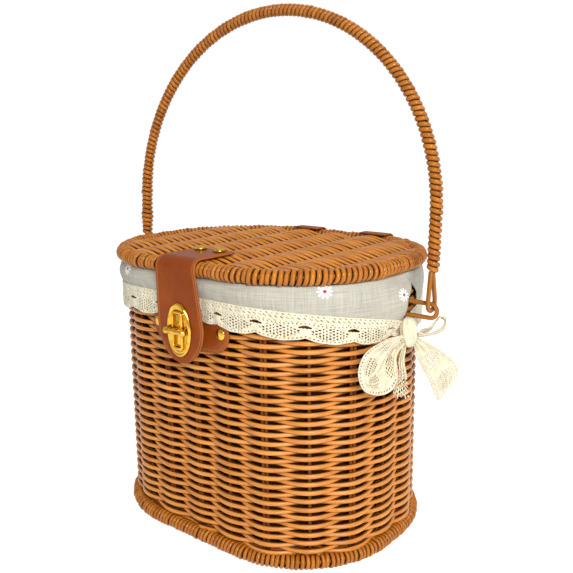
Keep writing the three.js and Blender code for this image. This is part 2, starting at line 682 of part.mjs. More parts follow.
// Middle line of the wound part, from the left leg's foot over the crown to the right leg's foot
function handleLine(distance) {
  if (distance < legLength) {
    return { at: vec(-HANDLE_HALF_SPAN, 0, EYE_HEIGHT + distance), out: vec(-1, 0, 0) };
  }
  if (distance > legLength + archLength) {
    const down = distance - legLength - archLength;
    return { at: vec(HANDLE_HALF_SPAN, 0, legTop - down), out: vec(1, 0, 0) };
  }
  const turn = Math.PI - (distance - legLength) / HANDLE_HALF_SPAN;
  const out = vec(Math.cos(turn), 0, Math.sin(turn));
  return { at: out.clone().multiplyScalar(HANDLE_HALF_SPAN).add(vec(0, 0, legTop)), out };
}

// Eye: the wire leaves the leg, goes under the ring and comes back up beside itself
function eyePath(sign) {
  const path = [];
  const steps = 10;
  for (let i = 0; i <= steps; i += 1) {
    const turn = Math.PI * (i / steps);
    path.push(vec(sign * HANDLE_HALF_SPAN, EYE_RADIUS * Math.cos(turn), -EYE_RADIUS * Math.sin(turn)));
  }
  const tailY = -2 * HANDLE_WIRE - LOOSE;
  path.push(vec(sign * HANDLE_HALF_SPAN, tailY, EYE_HEIGHT - 2 * HANDLE_WIRE));
  return path;
}
const archSteps = 28;
const archPath = Array.from({ length: archSteps + 1 }, (_, i) => {
  const start = legLength;
  return handleLine(start + (archLength * i) / archSteps).at;
});
const corePath = [
  ...eyePath(-1).reverse(),
  vec(-HANDLE_HALF_SPAN, 0, EYE_HEIGHT),
  ...archPath,
  vec(HANDLE_HALF_SPAN, 0, EYE_HEIGHT),
  ...eyePath(1),
];
add('handle_wire', wire(corePath, HANDLE_WIRE, 6), WIRE, handle);

const windingPitch = (woundLength - 2 * HANDLE_WIRE) / (WINDING_TURNS + 1);
const windingHalfWidth = (windingPitch - TURN_GAP) / 2;
const windingMiddles = [];
const windingRings = [];
for (let i = 0; i <= WINDING_TURNS * WINDING_STEPS; i += 1) {
  const turn = (2 * Math.PI * i) / WINDING_STEPS;
  const along = HANDLE_WIRE + windingPitch * (0.5 + i / WINDING_STEPS);
  const { at, out } = handleLine(along);
  const side = vec(0, 1, 0);
  const lengthways = out.clone().cross(side);
  const radial = out.clone().multiplyScalar(Math.cos(turn)).addScaledVector(side, Math.sin(turn));
  const middle = at.clone().addScaledVector(radial, WINDING_RADIUS);
  const corner = (r, l) => middle.clone().addScaledVector(radial, r * WINDING_HALF_THICK)
    .addScaledVector(lengthways, l * windingHalfWidth);
  windingMiddles.push(middle);
  windingRings.push([corner(-1, -1), corner(1, -1), corner(1, 1), corner(-1, 1)]);
}
add('handle_winding', loft(windingRings), HONEY, handle);

// Least gap between the winding's neighbouring turns, measured on its facing edges
let leastGap = Infinity;
for (let i = 0; i + WINDING_STEPS < windingRings.length; i += 1) {
  [[2, 1], [3, 0]].forEach(([mine, next]) => {
    const here = windingRings[i];
    const there = windingRings[i + WINDING_STEPS];
    [[mine, next], [next, mine]].forEach(([m, n]) => {
      leastGap = Math.min(leastGap, here[m].distanceTo(there[n]));
    });
  });
}
console.log(`handle_winding: least gap to itself ${leastGap.toFixed(2)} mm`);

// Outline extruded to a leather or metal sheet that stands in the XZ plane, its outer face at outerY
function sheetXZ(shape, outerY, thickness, segments = 10) {
  const geometry = new THREE.ExtrudeGeometry(shape, {
    depth: thickness, bevelEnabled: false, curveSegments: segments,
  });
  geometry.rotateX(Math.PI / 2);
  return geometry.translate(0, outerY + thickness, 0);
}

// Side profile in the YZ plane, extruded across the strap's width about x
function profileYZ(shape, x, halfWidth, segments = 8) {
  const geometry = new THREE.ExtrudeGeometry(shape, {
    depth: 2 * halfWidth, bevelEnabled: false, curveSegments: segments,
  });
  geometry.rotateX(Math.PI / 2);
  geometry.rotateZ(Math.PI / 2);
  return geometry.translate(x - halfWidth, 0, 0);
}

function slotPath(x, z) {
  const hole = new THREE.Path();
  hole.moveTo(x - SLOT_HALF_WIDTH, z - SLOT_HALF_HEIGHT);
  hole.lineTo(x - SLOT_HALF_WIDTH, z + SLOT_HALF_HEIGHT);
  hole.lineTo(x + SLOT_HALF_WIDTH, z + SLOT_HALF_HEIGHT);
  hole.lineTo(x + SLOT_HALF_WIDTH, z - SLOT_HALF_HEIGHT);
  return hole;
}

function ovalShape(halfWidth, halfHeight, x, z) {
  const shape = new THREE.Shape();
  shape.absellipse(x, z, halfWidth, halfHeight, 0, 2 * Math.PI);
  return shape;
}

// Dome or eyelet turned about Z, with its flat face at z = 0
function turned(profile, segments = 12) {
  return new THREE.LatheGeometry(profile.map(([r, z]) => new THREE.Vector2(r, z)), segments)
    .rotateX(Math.PI / 2);
}
const dome = [
  [0, 0],
  [RIVET_RADIUS, 0],
  [RIVET_RADIUS, RIVET_HEIGHT / 3],
  [RIVET_RADIUS * 0.7, RIVET_HEIGHT * 0.85],
  [0, RIVET_HEIGHT],
];
const eyelet = [
  [EYELET_HOLE, 0],
  [EYELET_RADIUS, 0],
  [EYELET_RADIUS * 0.8, RIVET_HEIGHT],
  [EYELET_HOLE, RIVET_HEIGHT * 0.6],
  [EYELET_HOLE, 0],
];

// Strap: lies on the lid, goes over its front rim and ends above the flap's fold
const strapLow = lidTop + FIT;
const rimFrontY = -lidRimOval.b;
const wrapIn = LID_RIM_RADIUS + FIT;
const wrapOut = wrapIn + LEATHER;
const flapPivotY = rimFrontY - wrapOut - LOOSE + LEATHER / 2;
const flapPivotZ = lidZ;
const flapHead = LEATHER / 2;
const strapEndAngle = Math.asin((flapHead * Math.SQRT2 + FIT) / wrapIn);
const strapSide = new THREE.Shape();
strapSide.moveTo(STRAP_BACK_Y, strapLow);
strapSide.lineTo(rimFrontY, strapLow);
strapSide.absarc(rimFrontY, strapLow - wrapIn, wrapIn, Math.PI / 2, Math.PI - strapEndAngle, false);
strapSide.absarc(rimFrontY, strapLow - wrapIn, wrapOut, Math.PI - strapEndAngle, Math.PI / 2, true);
strapSide.lineTo(STRAP_BACK_Y, strapLow + LEATHER);
add('strap', profileYZ(strapSide, STRAP_X, STRAP_HALF_WIDTH), TAN);
[['left', -1], ['right', 1]].forEach(([side, sign]) => {
  const mesh = add(`strap_eyelet_${side}`, turned(eyelet), BRASS);
  const x = STRAP_X + (sign * STRAP_RIVET_SPACING) / 2;
  mesh.position.set(x, STRAP_RIVET_Y, strapLow + LEATHER + FIT);
});

// Flap: the free end of the strap, hanging in front of the wall with the slotted clasp plate
const flapOuterY = flapPivotY - LEATHER / 2;
const flapShape = new THREE.Shape();
const flapRound = FLAP_SHOULDER_Z - FLAP_END_Z;
flapShape.moveTo(STRAP_X - FLAP_HALF_TOP, flapPivotZ + flapHead);
flapShape.lineTo(CLASP_X - FLAP_HALF_WIDE, FLAP_SHOULDER_Z);
flapShape.absellipse(CLASP_X, FLAP_SHOULDER_Z, FLAP_HALF_WIDE, flapRound, Math.PI, 2 * Math.PI);
flapShape.lineTo(STRAP_X + FLAP_HALF_TOP, flapPivotZ + flapHead);
flapShape.holes.push(slotPath(CLASP_X, CLASP_Z));
add('flap', sheetXZ(flapShape, flapOuterY, LEATHER), TAN);

const plateShape = ovalShape(PLATE_HALF_WIDTH, PLATE_HALF_HEIGHT, CLASP_X, CLASP_Z);
plateShape.holes.push(slotPath(CLASP_X, CLASP_Z));
const plateOuterY = flapOuterY - FIT - PLATE_THICK;
add('clasp_plate', sheetXZ(plateShape, plateOuterY, PLATE_THICK), BRASS);
const backPlateOuterY = flapOuterY + LEATHER + FIT;
add('clasp_back_plate', sheetXZ(plateShape, backPlateOuterY, BACK_PLATE_THICK), BRASS);

// Patch: a leather tongue riveted to the wall, which carries the turning knob
const wallFrontY = -(WALL_HALF_DEPTH + weaver.reach);
const patchOuterY = wallFrontY - FIT - LEATHER;
const patchShape = new THREE.Shape();
const patchRun = PATCH_HALF_WIDTH - PATCH_HALF_HEIGHT;
patchShape.absarc(CLASP_X + patchRun, CLASP_Z, PATCH_HALF_HEIGHT, -Math.PI / 2, Math.PI / 2);
patchShape.absarc(CLASP_X - patchRun, CLASP_Z, PATCH_HALF_HEIGHT, Math.PI / 2, (3 * Math.PI) / 2);
add('clasp_patch', sheetXZ(patchShape, patchOuterY, LEATHER), TAN);
[['left', -1], ['right', 1]].forEach(([side, sign]) => {
  const mesh = add(`patch_rivet_${side}`, turned(dome), BRASS);
  mesh.rotation.x = Math.PI / 2;
  mesh.position.set(CLASP_X + sign * PATCH_RIVET_X, patchOuterY - FIT, CLASP_Z);
});

// Knob seat and knob: a post through the slot with a cross-bar, standing across the slot when locked
const SEAT_RADIUS = 8.0;
const SEAT_HEIGHT = 2.4;
const seatProfile = [
  [0, 0],
  [SEAT_RADIUS, 0],
  [SEAT_RADIUS * 0.75, SEAT_HEIGHT],
  [0, SEAT_HEIGHT],
];
const seat = add('knob_seat', turned(seatProfile), BRASS);
seat.rotation.x = Math.PI / 2;
seat.position.set(CLASP_X, patchOuterY - FIT, CLASP_Z);
const postInY = patchOuterY - 2 * FIT - SEAT_HEIGHT;
const barY = plateOuterY - FIT - BAR_RADIUS;
const post = new THREE.CylinderGeometry(POST_RADIUS, POST_RADIUS, postInY - barY, 10);
post.translate(CLASP_X, (postInY + barY) / 2, CLASP_Z);
const bar = new THREE.CapsuleGeometry(BAR_RADIUS, 2 * (BAR_HALF_LENGTH - BAR_RADIUS), 2, 8);
bar.rotateZ(Math.PI / 2);
bar.translate(CLASP_X, barY, CLASP_Z);
add('turn_knob', meshed(solid(post).add(solid(bar))), BRASS);

// Hinges: a leather loop round the lid's back rim, and its tab on the body, at two places
const hingePivotZ = clothTop - FIT;
const tabTop = hingePivotZ - FIT;
const skirtAtTab = bulgeSide + CLOTH + 2 * FOLD_DEPTH;
const hingeTabIn = wallOval.b + skirtAtTab + FIT;
const hingePivotY = hingeTabIn + HINGE_LEATHER + FIT;
const loopSide = new THREE.Shape();
const rimBackY = lidRimOval.b;
const loopEnd = THREE.MathUtils.degToRad(HINGE_WRAP_END);
loopSide.moveTo(rimBackY - HINGE_TOP_LENGTH, lidZ + wrapIn);
loopSide.lineTo(rimBackY, lidZ + wrapIn);
loopSide.absarc(rimBackY, lidZ, wrapIn, Math.PI / 2, loopEnd, true);
loopSide.absarc(rimBackY, lidZ, wrapIn + HINGE_LEATHER, loopEnd, Math.PI / 2, false);
loopSide.lineTo(rimBackY - HINGE_TOP_LENGTH, lidZ + wrapIn + HINGE_LEATHER);
const tabShape = new THREE.Shape();
tabShape.moveTo(-HINGE_HALF_WIDTH, tabTop);
tabShape.lineTo(-HINGE_HALF_WIDTH, tabTop - HINGE_TAB_LENGTH / 2);
const tabRound = HINGE_TAB_LENGTH / 2;
tabShape.absellipse(0, tabTop - tabRound, HINGE_HALF_WIDTH, tabRound, Math.PI, 2 * Math.PI);
tabShape.lineTo(HINGE_HALF_WIDTH, tabTop);
[['left', -1], ['right', 1]].forEach(([side, sign]) => {
  const x = HINGE_MIDDLE_X + (sign * HINGE_SPACING) / 2;
  add(`hinge_loop_${side}`, profileYZ(loopSide, x, HINGE_HALF_WIDTH), TAN);
  add(`hinge_tab_${side}`, sheetXZ(tabShape, hingeTabIn, HINGE_LEATHER).translate(x, 0, 0), TAN);
});

// Bow: a knot with two loops and two tails of lace ribbon, tied to the foot of the right-hand ring
const ringFootX = footX + RING_WIRE;
const laceOutX = WALL_HALF_LENGTH + laceIn + LACE_THICK;
const knotX = Math.max(ringFootX, laceOutX) + FIT + KNOT_RADIUS;
const knot = new THREE.SphereGeometry(KNOT_RADIUS, 8, 6);
add('bow_knot', knot.translate(knotX, BOW_Y, BOW_Z), CREAM);

// Loop: a ribbon bent back on itself like a drop, gathered where it leaves the knot
function ribbonLoop(length) {
  const steps = 14;
  const blunt = 0.6;
  const line = Array.from({ length: steps }, (_, i) => {
    const turn = blunt + (2 * (Math.PI - blunt) * i) / (steps - 1);
    const along = (length * (1 - Math.cos(turn))) / 2;
    return vec(LOOP_PUFF * Math.sin(turn) * Math.sin(turn / 2), along, 0);
  });
  const start = line[0].y;
  const rings = line.map((p, i) => {
    const way = line[(i + 1) % steps].clone().sub(line[(i + steps - 1) % steps]).normalize();
    const across = vec(way.y, -way.x, 0).multiplyScalar(RIBBON_THICK / 2);
    const spread = Math.min(1, (2 * (p.y - start)) / length);
    const half = (RIBBON_GATHERED + (RIBBON_WIDTH - RIBBON_GATHERED) * spread) / 2;
    const at = (side, rise) => p.clone().addScaledVector(across, side).add(vec(0, -start, rise * half));
    return [at(-1, -1), at(1, -1), at(1, 1), at(-1, 1)];
  });
  return loft(rings, true);
}

// Tail: a ribbon hanging in a shallow wave, spreading towards its end
function ribbonTail(length) {
  const rings = [];
  const steps = 6;
  const h = RIBBON_THICK / 2;
  for (let i = 0; i <= steps; i += 1) {
    const t = i / steps;
    const half = (RIBBON_GATHERED + (RIBBON_WIDTH - RIBBON_GATHERED) * t) / 2;
    const wave = RIBBON_THICK * Math.sin(2 * Math.PI * t);
    const at = (side, rise) => vec(wave + side * h, length * t, rise * half);
    rings.push([at(-1, -1), at(1, -1), at(1, 1), at(-1, 1)]);
  }
  return loft(rings);
}

// Each piece of the bow leaves the knot at an angle to the level, turned out from the end wall by a yaw
function bowPiece(name, geometry, degrees, yaw) {
  const turn = new THREE.Group();
  turn.position.set(knotX, BOW_Y, BOW_Z);
  turn.rotation.set(THREE.MathUtils.degToRad(degrees), 0, THREE.MathUtils.degToRad(yaw), 'ZXY');
  basket.add(turn);
  add(name, geometry.translate(0, KNOT_RADIUS + FIT, 0), CREAM, turn);
}
bowPiece('bow_loop_front', ribbonLoop(FRONT_LOOP_LENGTH), -146, 8);
bowPiece('bow_loop_back', ribbonLoop(BACK_LOOP_LENGTH), 6, -18);
bowPiece('bow_tail_front', ribbonTail(FRONT_TAIL_LENGTH), -100, 0);
bowPiece('bow_tail_back', ribbonTail(BACK_TAIL_LENGTH), -52, -20);

// The knob is the frontmost point and the hinge loops are the backmost: the origin lies midway
const frontY = barY - BAR_RADIUS;
const backY = rimBackY + wrapIn + HINGE_LEATHER;
basket.position.y = -(frontY + backY) / 2;

export default basket;
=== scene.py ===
import math

import bpy
import numpy as np
from mathutils import Matrix, Vector


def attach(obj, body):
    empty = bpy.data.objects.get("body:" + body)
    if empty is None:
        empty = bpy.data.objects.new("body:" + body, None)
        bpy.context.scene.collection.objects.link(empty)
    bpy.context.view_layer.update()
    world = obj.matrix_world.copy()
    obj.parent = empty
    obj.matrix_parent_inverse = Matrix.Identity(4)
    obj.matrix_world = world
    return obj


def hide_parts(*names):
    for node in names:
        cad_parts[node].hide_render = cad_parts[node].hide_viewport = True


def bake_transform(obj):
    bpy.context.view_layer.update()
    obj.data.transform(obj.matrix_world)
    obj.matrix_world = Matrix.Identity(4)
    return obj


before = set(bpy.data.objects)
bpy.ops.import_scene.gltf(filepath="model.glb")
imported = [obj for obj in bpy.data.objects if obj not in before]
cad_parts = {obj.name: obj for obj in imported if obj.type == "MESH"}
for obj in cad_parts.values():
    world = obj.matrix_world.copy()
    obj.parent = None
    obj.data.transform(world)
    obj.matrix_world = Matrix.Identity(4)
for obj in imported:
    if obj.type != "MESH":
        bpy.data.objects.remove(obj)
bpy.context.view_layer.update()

# View: a camera a little above the lid, turned towards the right-hand end.
# Its angles, distance and focal length were fitted to the outlines of lid, base and handle.
AZIMUTH, ELEVATION, ROLL = (math.radians(a) for a in (39.16, 12.15, -0.65))
AIM_RIGHT, AIM_UP, DISTANCE = 14.49, 183.48, 610.25  # mm
OVAL_BACK = 4.05  # mm, middle of the oval behind the origin
IMAGE_PIXELS, FOCAL_PIXELS = 573, 752.55
view_back = np.array([math.sin(AZIMUTH) * math.cos(ELEVATION),
                      -math.cos(AZIMUTH) * math.cos(ELEVATION), math.sin(ELEVATION)])
view_right = np.array([math.cos(AZIMUTH), math.sin(AZIMUTH), 0.0])
view_up = np.cross(view_back, view_right)
eye = AIM_RIGHT * view_right + DISTANCE * view_back + np.array([0.0, OVAL_BACK, AIM_UP])
turned_right = view_right * math.cos(ROLL) + view_up * math.sin(ROLL)
turned_up = view_up * math.cos(ROLL) - view_right * math.sin(ROLL)
lens = bpy.data.cameras.new("view")
lens.sensor_width = 36.0
lens.lens = FOCAL_PIXELS / IMAGE_PIXELS * lens.sensor_width
lens.clip_end = 50.0
camera = bpy.data.objects.new("view", lens)
turned = np.stack([turned_right, turned_up, view_back, eye / 1000.0], 1).tolist()
camera.matrix_world = Matrix(turned + [[0, 0, 0, 1]])
bpy.context.scene.collection.objects.link(camera)
bpy.context.scene.camera = camera
bpy.context.scene.view_settings.view_transform = "Standard"


# Studio: a floor of white paper in a white world, with a soft lamp at the right in front, a weak one at the left
# and one above. Floor and world are white to the camera, darker in reflections, and plain light elsewhere.
def linear(code):
    """An sRGB hex colour as linear red, green, blue and alpha."""
    parts = np.array([int(code[i:i + 2], 16) for i in (1, 3, 5)]) / 255.0
    parts = np.where(parts <= 0.04045, parts / 12.92, ((parts + 0.055) / 1.055) ** 2.4)
    return (*parts.tolist(), 1.0)


def node(tree, kind, inputs=None, stops=None, **settings):
    """Adds one node, or takes one that is there, with its settings, its colour stops and its inputs.

    Each input is given a value or a link, and a node given there stands for its first output."""
    made = kind if isinstance(kind, bpy.types.Node) else tree.nodes.new("ShaderNode" + kind)
    for key, value in settings.items():
        setattr(made, key, value)
    for key, value in (inputs or {}).items():
        value = value.outputs[0] if isinstance(value, bpy.types.Node) else value
        if isinstance(value, bpy.types.NodeSocket):
            tree.links.new(value, made.inputs[key])
        else:
            made.inputs[key].default_value = value
    for i, (place, code) in enumerate(stops or []):
        spot = made.color_ramp.elements[i] if i < 2 else made.color_ramp.elements.new(place)
        spot.position, spot.color = place, linear(code)
    return made


def new_finish(name):
    """A new material, its node tree, and the surface that the tree starts with."""
    made = bpy.data.materials.new(name)
    made.use_nodes = True
    return made, made.node_tree, made.node_tree.nodes["Principled BSDF"]


world = bpy.data.worlds.new("studio")
bpy.context.scene.world = world
world.use_nodes = True
sky = world.node_tree
sky.nodes.clear()
seen = node(sky, "LightPath")
AMBIENT, MIRRORED = 0.36, 0.6
ambient = node(sky, "MapRange", {"Value": seen.outputs["Is Camera Ray"], "To Min": AMBIENT, "To Max": 1.0})
mirrored = node(sky, "Math", {0: seen.outputs["Is Glossy Ray"], 1: MIRRORED}, operation="MULTIPLY")
level = node(sky, "Math", {0: ambient, 1: mirrored}, operation="MAXIMUM")
glow = node(sky, "Background", {"Color": linear("#FFFFFF"), "Strength": level})
node(sky, "OutputWorld", {"Surface": glow})

FLOOR_HALF = 3.0  # metres
FLOOR_LIFT = 0.7  # light that the floor adds for the camera, so that only the shadow under the basket stays
floor_mesh = bpy.data.meshes.new("floor")
floor_mesh.from_pydata([(x * FLOOR_HALF, y * FLOOR_HALF, 0) for x, y in ((-1, -1), (1, -1), (1, 1), (-1, 1))],
                       [], [(0, 1, 2, 3)])
floor = bpy.data.objects.new("floor", floor_mesh)
bpy.context.scene.collection.objects.link(floor)
paper, tree, skin = new_finish("white_paper")
seen = node(tree, "LightPath")
shown = node(tree, "Math", {0: seen.outputs["Is Camera Ray"], 1: seen.outputs["Is Glossy Ray"]},
             operation="MAXIMUM")
lift = node(tree, "Math", {0: shown, 1: FLOOR_LIFT}, operation="MULTIPLY")
node(tree, skin, {"Base Color": linear("#F2F2F0"), "Roughness": 0.95, "Specular IOR Level": 0.1,
                  "Emission Color": linear("#FFFFFF"), "Emission Strength": lift})
floor_mesh.materials.append(paper)

LAMP_AIM = Vector((0.0, 0.0, 0.16))
for lamp_name, place, size, power in (("key", (1.1, -0.85, 0.85), 0.6, 20.5),
                                      ("fill", (-1.1, -1.0, 0.9), 1.2, 1.2),
                                      ("top", (0.0, 0.5, 1.7), 1.4, 5.5)):
    lamp = bpy.data.lights.new(lamp_name, "AREA")
    lamp.size, lamp.energy = size, power
    stand = bpy.data.objects.new(lamp_name, lamp)
    stand.location = place
    stand.rotation_mode = "QUATERNION"
    stand.rotation_quaternion = (Vector(place) - LAMP_AIM).to_track_quat("Z", "Y")
    bpy.context.scene.collection.objects.link(stand)


# Wall stakes: rattan rods that stand on the base hoop, in pairs and singly by turns round the oval.
# The strand between them is woven so tightly that they show only in the gaps between its rows.
def oval(run, half_length, half_depth, corner, outset=0.0):
    """Points and outward directions at distances along a rounded oblong, from the front middle towards +X.

    The oblong is a circle of the corner's radius carried round a rectangle: the circle's middle and the
    outward angle both change evenly with the distance, and the outset moves the point along the angle."""
    flat_x, flat_y, bend = half_length - corner, half_depth - corner, math.pi / 2 * corner
    steps = np.cumsum([0, flat_x, bend, 2 * flat_y, bend, 2 * flat_x, bend, 2 * flat_y, bend, flat_x])
    along = np.mod(run, steps[-1])
    angle = np.radians(np.interp(along, steps, [-90, -90, 0, 0, 90, 90, 180, 180, 270, 270]))
    middle_x = np.interp(along, steps, np.array([0, 1, 1, 1, 1, -1, -1, -1, -1, 0]) * flat_x)
    middle_y = np.interp(along, steps, np.array([-1, -1, -1, 1, 1, 1, 1, -1, -1, -1]) * flat_y)
    out = np.stack([np.cos(angle), np.sin(angle), np.zeros_like(angle)], -1)
    place = np.stack([middle_x, middle_y + OVAL_BACK, np.zeros_like(angle)], -1)
    return place + (corner + np.asarray(outset))[..., None] * out, out


def girth(half_length, half_depth, corner):
    """Length round a rounded oblong: its straight runs and one full circle."""
    return 4 * (half_length - corner) + 4 * (half_depth - corner) + 2 * math.pi * corner


def patch(points, ring=False, endless=False, uv=None, keep=None, caps=False, tone=1.0):
    """Quads between neighbouring points of a grid; ring joins the last column to the first, endless the rows.

    keep leaves out faces, caps closes the first and the last ring, and a ring that faces inwards is turned."""
    rows, columns = points.shape[:2]
    i = np.arange(rows if endless else rows - 1)[:, None]
    j = np.arange(columns if ring else columns - 1)[None, :]
    i2, j2 = (i + 1) % rows, (j + 1) % columns
    corners = np.stack(np.broadcast_arrays(i * columns + j, i * columns + j2,
                                           i2 * columns + j2, i2 * columns + j), -1)
    if uv is None:
        uv = np.stack(np.meshgrid(np.arange(rows + 1.0), np.arange(columns + 1.0), indexing="ij"), -1)
    places = np.stack([uv[i, j], uv[i, j + 1], uv[i + 1, j + 1], uv[i + 1, j]], 2)
    if keep is not None:
        corners, places = corners[keep], places[keep]
    corners, places, flat = corners.reshape(-1, 4), places.reshape(-1, 4, 2), points.reshape(-1, 3)
    ends = [list(range(columns))[::-1], list(range((rows - 1) * columns, rows * columns))] if caps else []
    if ring:
        near = flat - flat.mean(0)
        a, b, c, d = (near[corners[:, k]] for k in range(4))
        if (np.cross(b - a, c - a) * a).sum() + (np.cross(c - a, d - a) * a).sum() < 0:
            corners, places, ends = corners[:, ::-1], places[:, ::-1], [e[::-1] for e in ends]
    return flat, corners, places, ends, np.broadcast_to(tone, flat.shape[0])


def piece(name, patches, finish, body, stands_for):
    """One object from patches in millimetres, with its material, body and the nodes it stands for."""
    points, quads, places, tones, caps, first = [], [], [], [], [], 0
    for flat, corners, spots, ends, tone in patches:
        points.append(flat)
        quads.append(corners + first)
        places.append(spots)
        tones.append(tone)
        caps += [[k + first for k in end] for end in ends]
        first += len(flat)
    points, quads, places, tones = (np.concatenate(x) for x in (points, quads, places, tones))
    used = np.zeros(len(points), bool)
    used[quads.reshape(-1)] = True
    order = np.cumsum(used) - 1
    mesh = bpy.data.meshes.new(name)
    mesh.from_pydata((points[used] / 1000.0).tolist(), [],
                     order[quads].tolist() + [[int(order[k]) for k in cap] for cap in caps])
    layer = mesh.uv_layers.new(name="UVMap")
    rest = np.zeros((sum(len(cap) for cap in caps), 2))
    layer.data.foreach_set("uv", np.concatenate([places.reshape(-1, 2), rest]).astype(np.float32).reshape(-1))
    mesh.attributes.new("tone", "FLOAT", "POINT").data.foreach_set("value", tones[used].astype(np.float32))
    mesh.polygons.foreach_set("use_smooth", np.full(len(mesh.polygons), True))
    mesh.materials.append(finish)
    made = bpy.data.objects.new(name, mesh)
    bpy.context.scene.collection.objects.link(made)
    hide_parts(*stands_for)
    if body:
        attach(made, body)
    return made


def rod(path, out, half_thick, half_wide=None, sides=8, endless=False, tone=1.0, shift=0.0):
    """An oval section carried along a path: half_thick lies along out, half_wide across it and the path.

    shift moves the pattern along the strand, so that no two strands look alike."""
    path, count = np.asarray(path, float), len(path)
    ahead = np.roll(path, -1, 0) - np.roll(path, 1, 0) if endless else np.gradient(path, axis=0)
    ahead = ahead / np.linalg.norm(ahead, axis=1, keepdims=True)
    side = np.cross(ahead, np.broadcast_to(out, path.shape))
    side = side / np.linalg.norm(side, axis=1, keepdims=True)
    out = np.cross(side, ahead)
    thick = np.broadcast_to(half_thick, count)[:, None, None]
    wide = thick if half_wide is None else np.broadcast_to(half_wide, count)[:, None, None]
    turn = np.linspace(0, 2 * math.pi, sides, endpoint=False)[None, :, None]
    points = path[:, None] + out[:, None] * thick * np.cos(turn) + side[:, None] * wide * np.sin(turn)
    steps = np.linalg.norm(np.diff(np.concatenate([path, path[:1]]), axis=0), axis=1)
    length = np.concatenate([[0], np.cumsum(steps)])
    length = length if endless else length[:-1]
    uv = np.stack(np.meshgrid(length + shift, np.linspace(0, 1, sides + 1), indexing="ij"), -1)
    tone = np.repeat(np.broadcast_to(tone, count), sides)
    return patch(points, ring=True, endless=endless, uv=uv, caps=not endless, tone=tone)


def rattan(name, dark, middle, light, gloss, stain_and_shade, hollow_shade):
    """Varnished rattan: a strand whose honey tone drifts over some 55 mm of its length, with lengthwise streaks of
    grain about 0.6 mm apart, drawn twice as wide so that they show, and a satin varnish. The dark colour is painted
    shade in the hollows along both its sides, each as wide as the given share of the way round, and is mixed in
    where its tone is low, as random stain on some strands and as painted shade on others."""
    made, tree, skin = new_finish(name)
    place = node(tree, "SeparateXYZ", {0: node(tree, "UVMap", uv_map="UVMap")})
    along, around = place.outputs["X"], place.outputs["Y"]
    tone = node(tree, "Attribute", attribute_name="tone")
    slow = node(tree, "Math", {0: along, 1: 1 / 55.0}, operation="MULTIPLY")
    drift_at = node(tree, "CombineXYZ", {"X": slow})
    drift = node(tree, "TexNoise", {"Vector": drift_at, "Scale": 1.0, "Detail": 3.0})
    streak = node(tree, "Math", {0: along, 1: 1 / 9.0}, operation="MULTIPLY")
    streaks = node(tree, "Math", {0: around, 1: 11.0}, operation="MULTIPLY")
    grain_at = node(tree, "CombineXYZ", {"X": streak, "Y": streaks})
    grain = node(tree, "TexNoise", {"Vector": grain_at, "Scale": 1.0, "Detail": 2.0})
    both = node(tree, "Mix", {0: 0.35, 2: drift, 3: grain}, data_type="FLOAT")
    colour = node(tree, "ValToRGB", {0: both}, [(0.3, dark), (0.7, light), (0.5, middle)])
    # Around the section the second coordinate is 0 or 1 on the outer face, a half on the inner one.
    inward = node(tree, "Math", {0: around, 1: 0.5}, operation="SUBTRACT")
    inward = node(tree, "Math", {0: inward}, operation="ABSOLUTE")
    from_side = node(tree, "Math", {0: inward, 1: 0.25}, operation="SUBTRACT")
    from_side = node(tree, "Math", {0: from_side}, operation="ABSOLUTE")
    # Painted shade: towards both sides the strand is mixed into the dark colour, and further where its tone is low,
    # which is random stain on some strands and painted shade on others.
    unshaded_unstained = node(tree, "MapRange", {"Value": from_side, "From Max": hollow_shade}, interpolation_type="SMOOTHSTEP")
    unshaded_unstained = node(tree, "Math", {0: unshaded_unstained, 1: tone.outputs["Fac"]}, operation="MULTIPLY")
    stained_and_shaded = node(tree, "Mix", {0: unshaded_unstained, 6: linear(stain_and_shade), 7: colour}, data_type="RGBA")
    rough = node(tree, "MapRange", {"Value": grain, "To Min": gloss - 0.06, "To Max": gloss + 0.1})
    bump = node(tree, "Bump", {"Strength": 0.35, "Distance": 0.0003, "Height": grain})
    node(tree, skin, {"Base Color": stained_and_shaded.outputs[2], "Roughness": rough, "IOR": 1.45,
                      "Specular IOR Level": 0.3, "Normal": bump})
    return made


WALL = (113.2, 81.7, 71.7)  # mm, half length, half depth and corner
WALL_GIRTH = girth(*WALL)
STAKES, STAKE_OUTSET, ROD_RADIUS, PAIR_HALF = 21, 1.5, 1.4, 1.42
STAKE_LOW, STAKE_TOP = 9.6, 203.0
HOOP_THICK, HOOPS = 1.5, ((8.6, 3.9), (203.2, 2.9))  # each hoop's height and half width
stake_rattan = rattan("varnished_rattan_rod", "#6E3B15", "#8A4E1E", "#A06428", 0.4, "#4A220A", 0.15)
stake_runs = np.concatenate([k * WALL_GIRTH / STAKES + np.array([0.0] if k % 2 else [-PAIR_HALF, PAIR_HALF])
                             for k in range(STAKES)])
feet, outs = oval(stake_runs, *WALL, STAKE_OUTSET)
heights = np.linspace(STAKE_LOW, STAKE_TOP, 9)[:, None] * np.array([0, 0, 1.0])
stakes = [rod(foot + heights, out, ROD_RADIUS, shift=137.0 * k) for k, (foot, out) in enumerate(zip(feet, outs))]
line, out = oval(np.linspace(0, WALL_GIRTH, 160, endpoint=False), *WALL)
stakes += [rod(line + [0, 0, z], out, HOOP_THICK, half_wide, endless=True) for z, half_wide in HOOPS]
piece("wall_stakes", stakes, stake_rattan, "basket", ["stake_frame"])

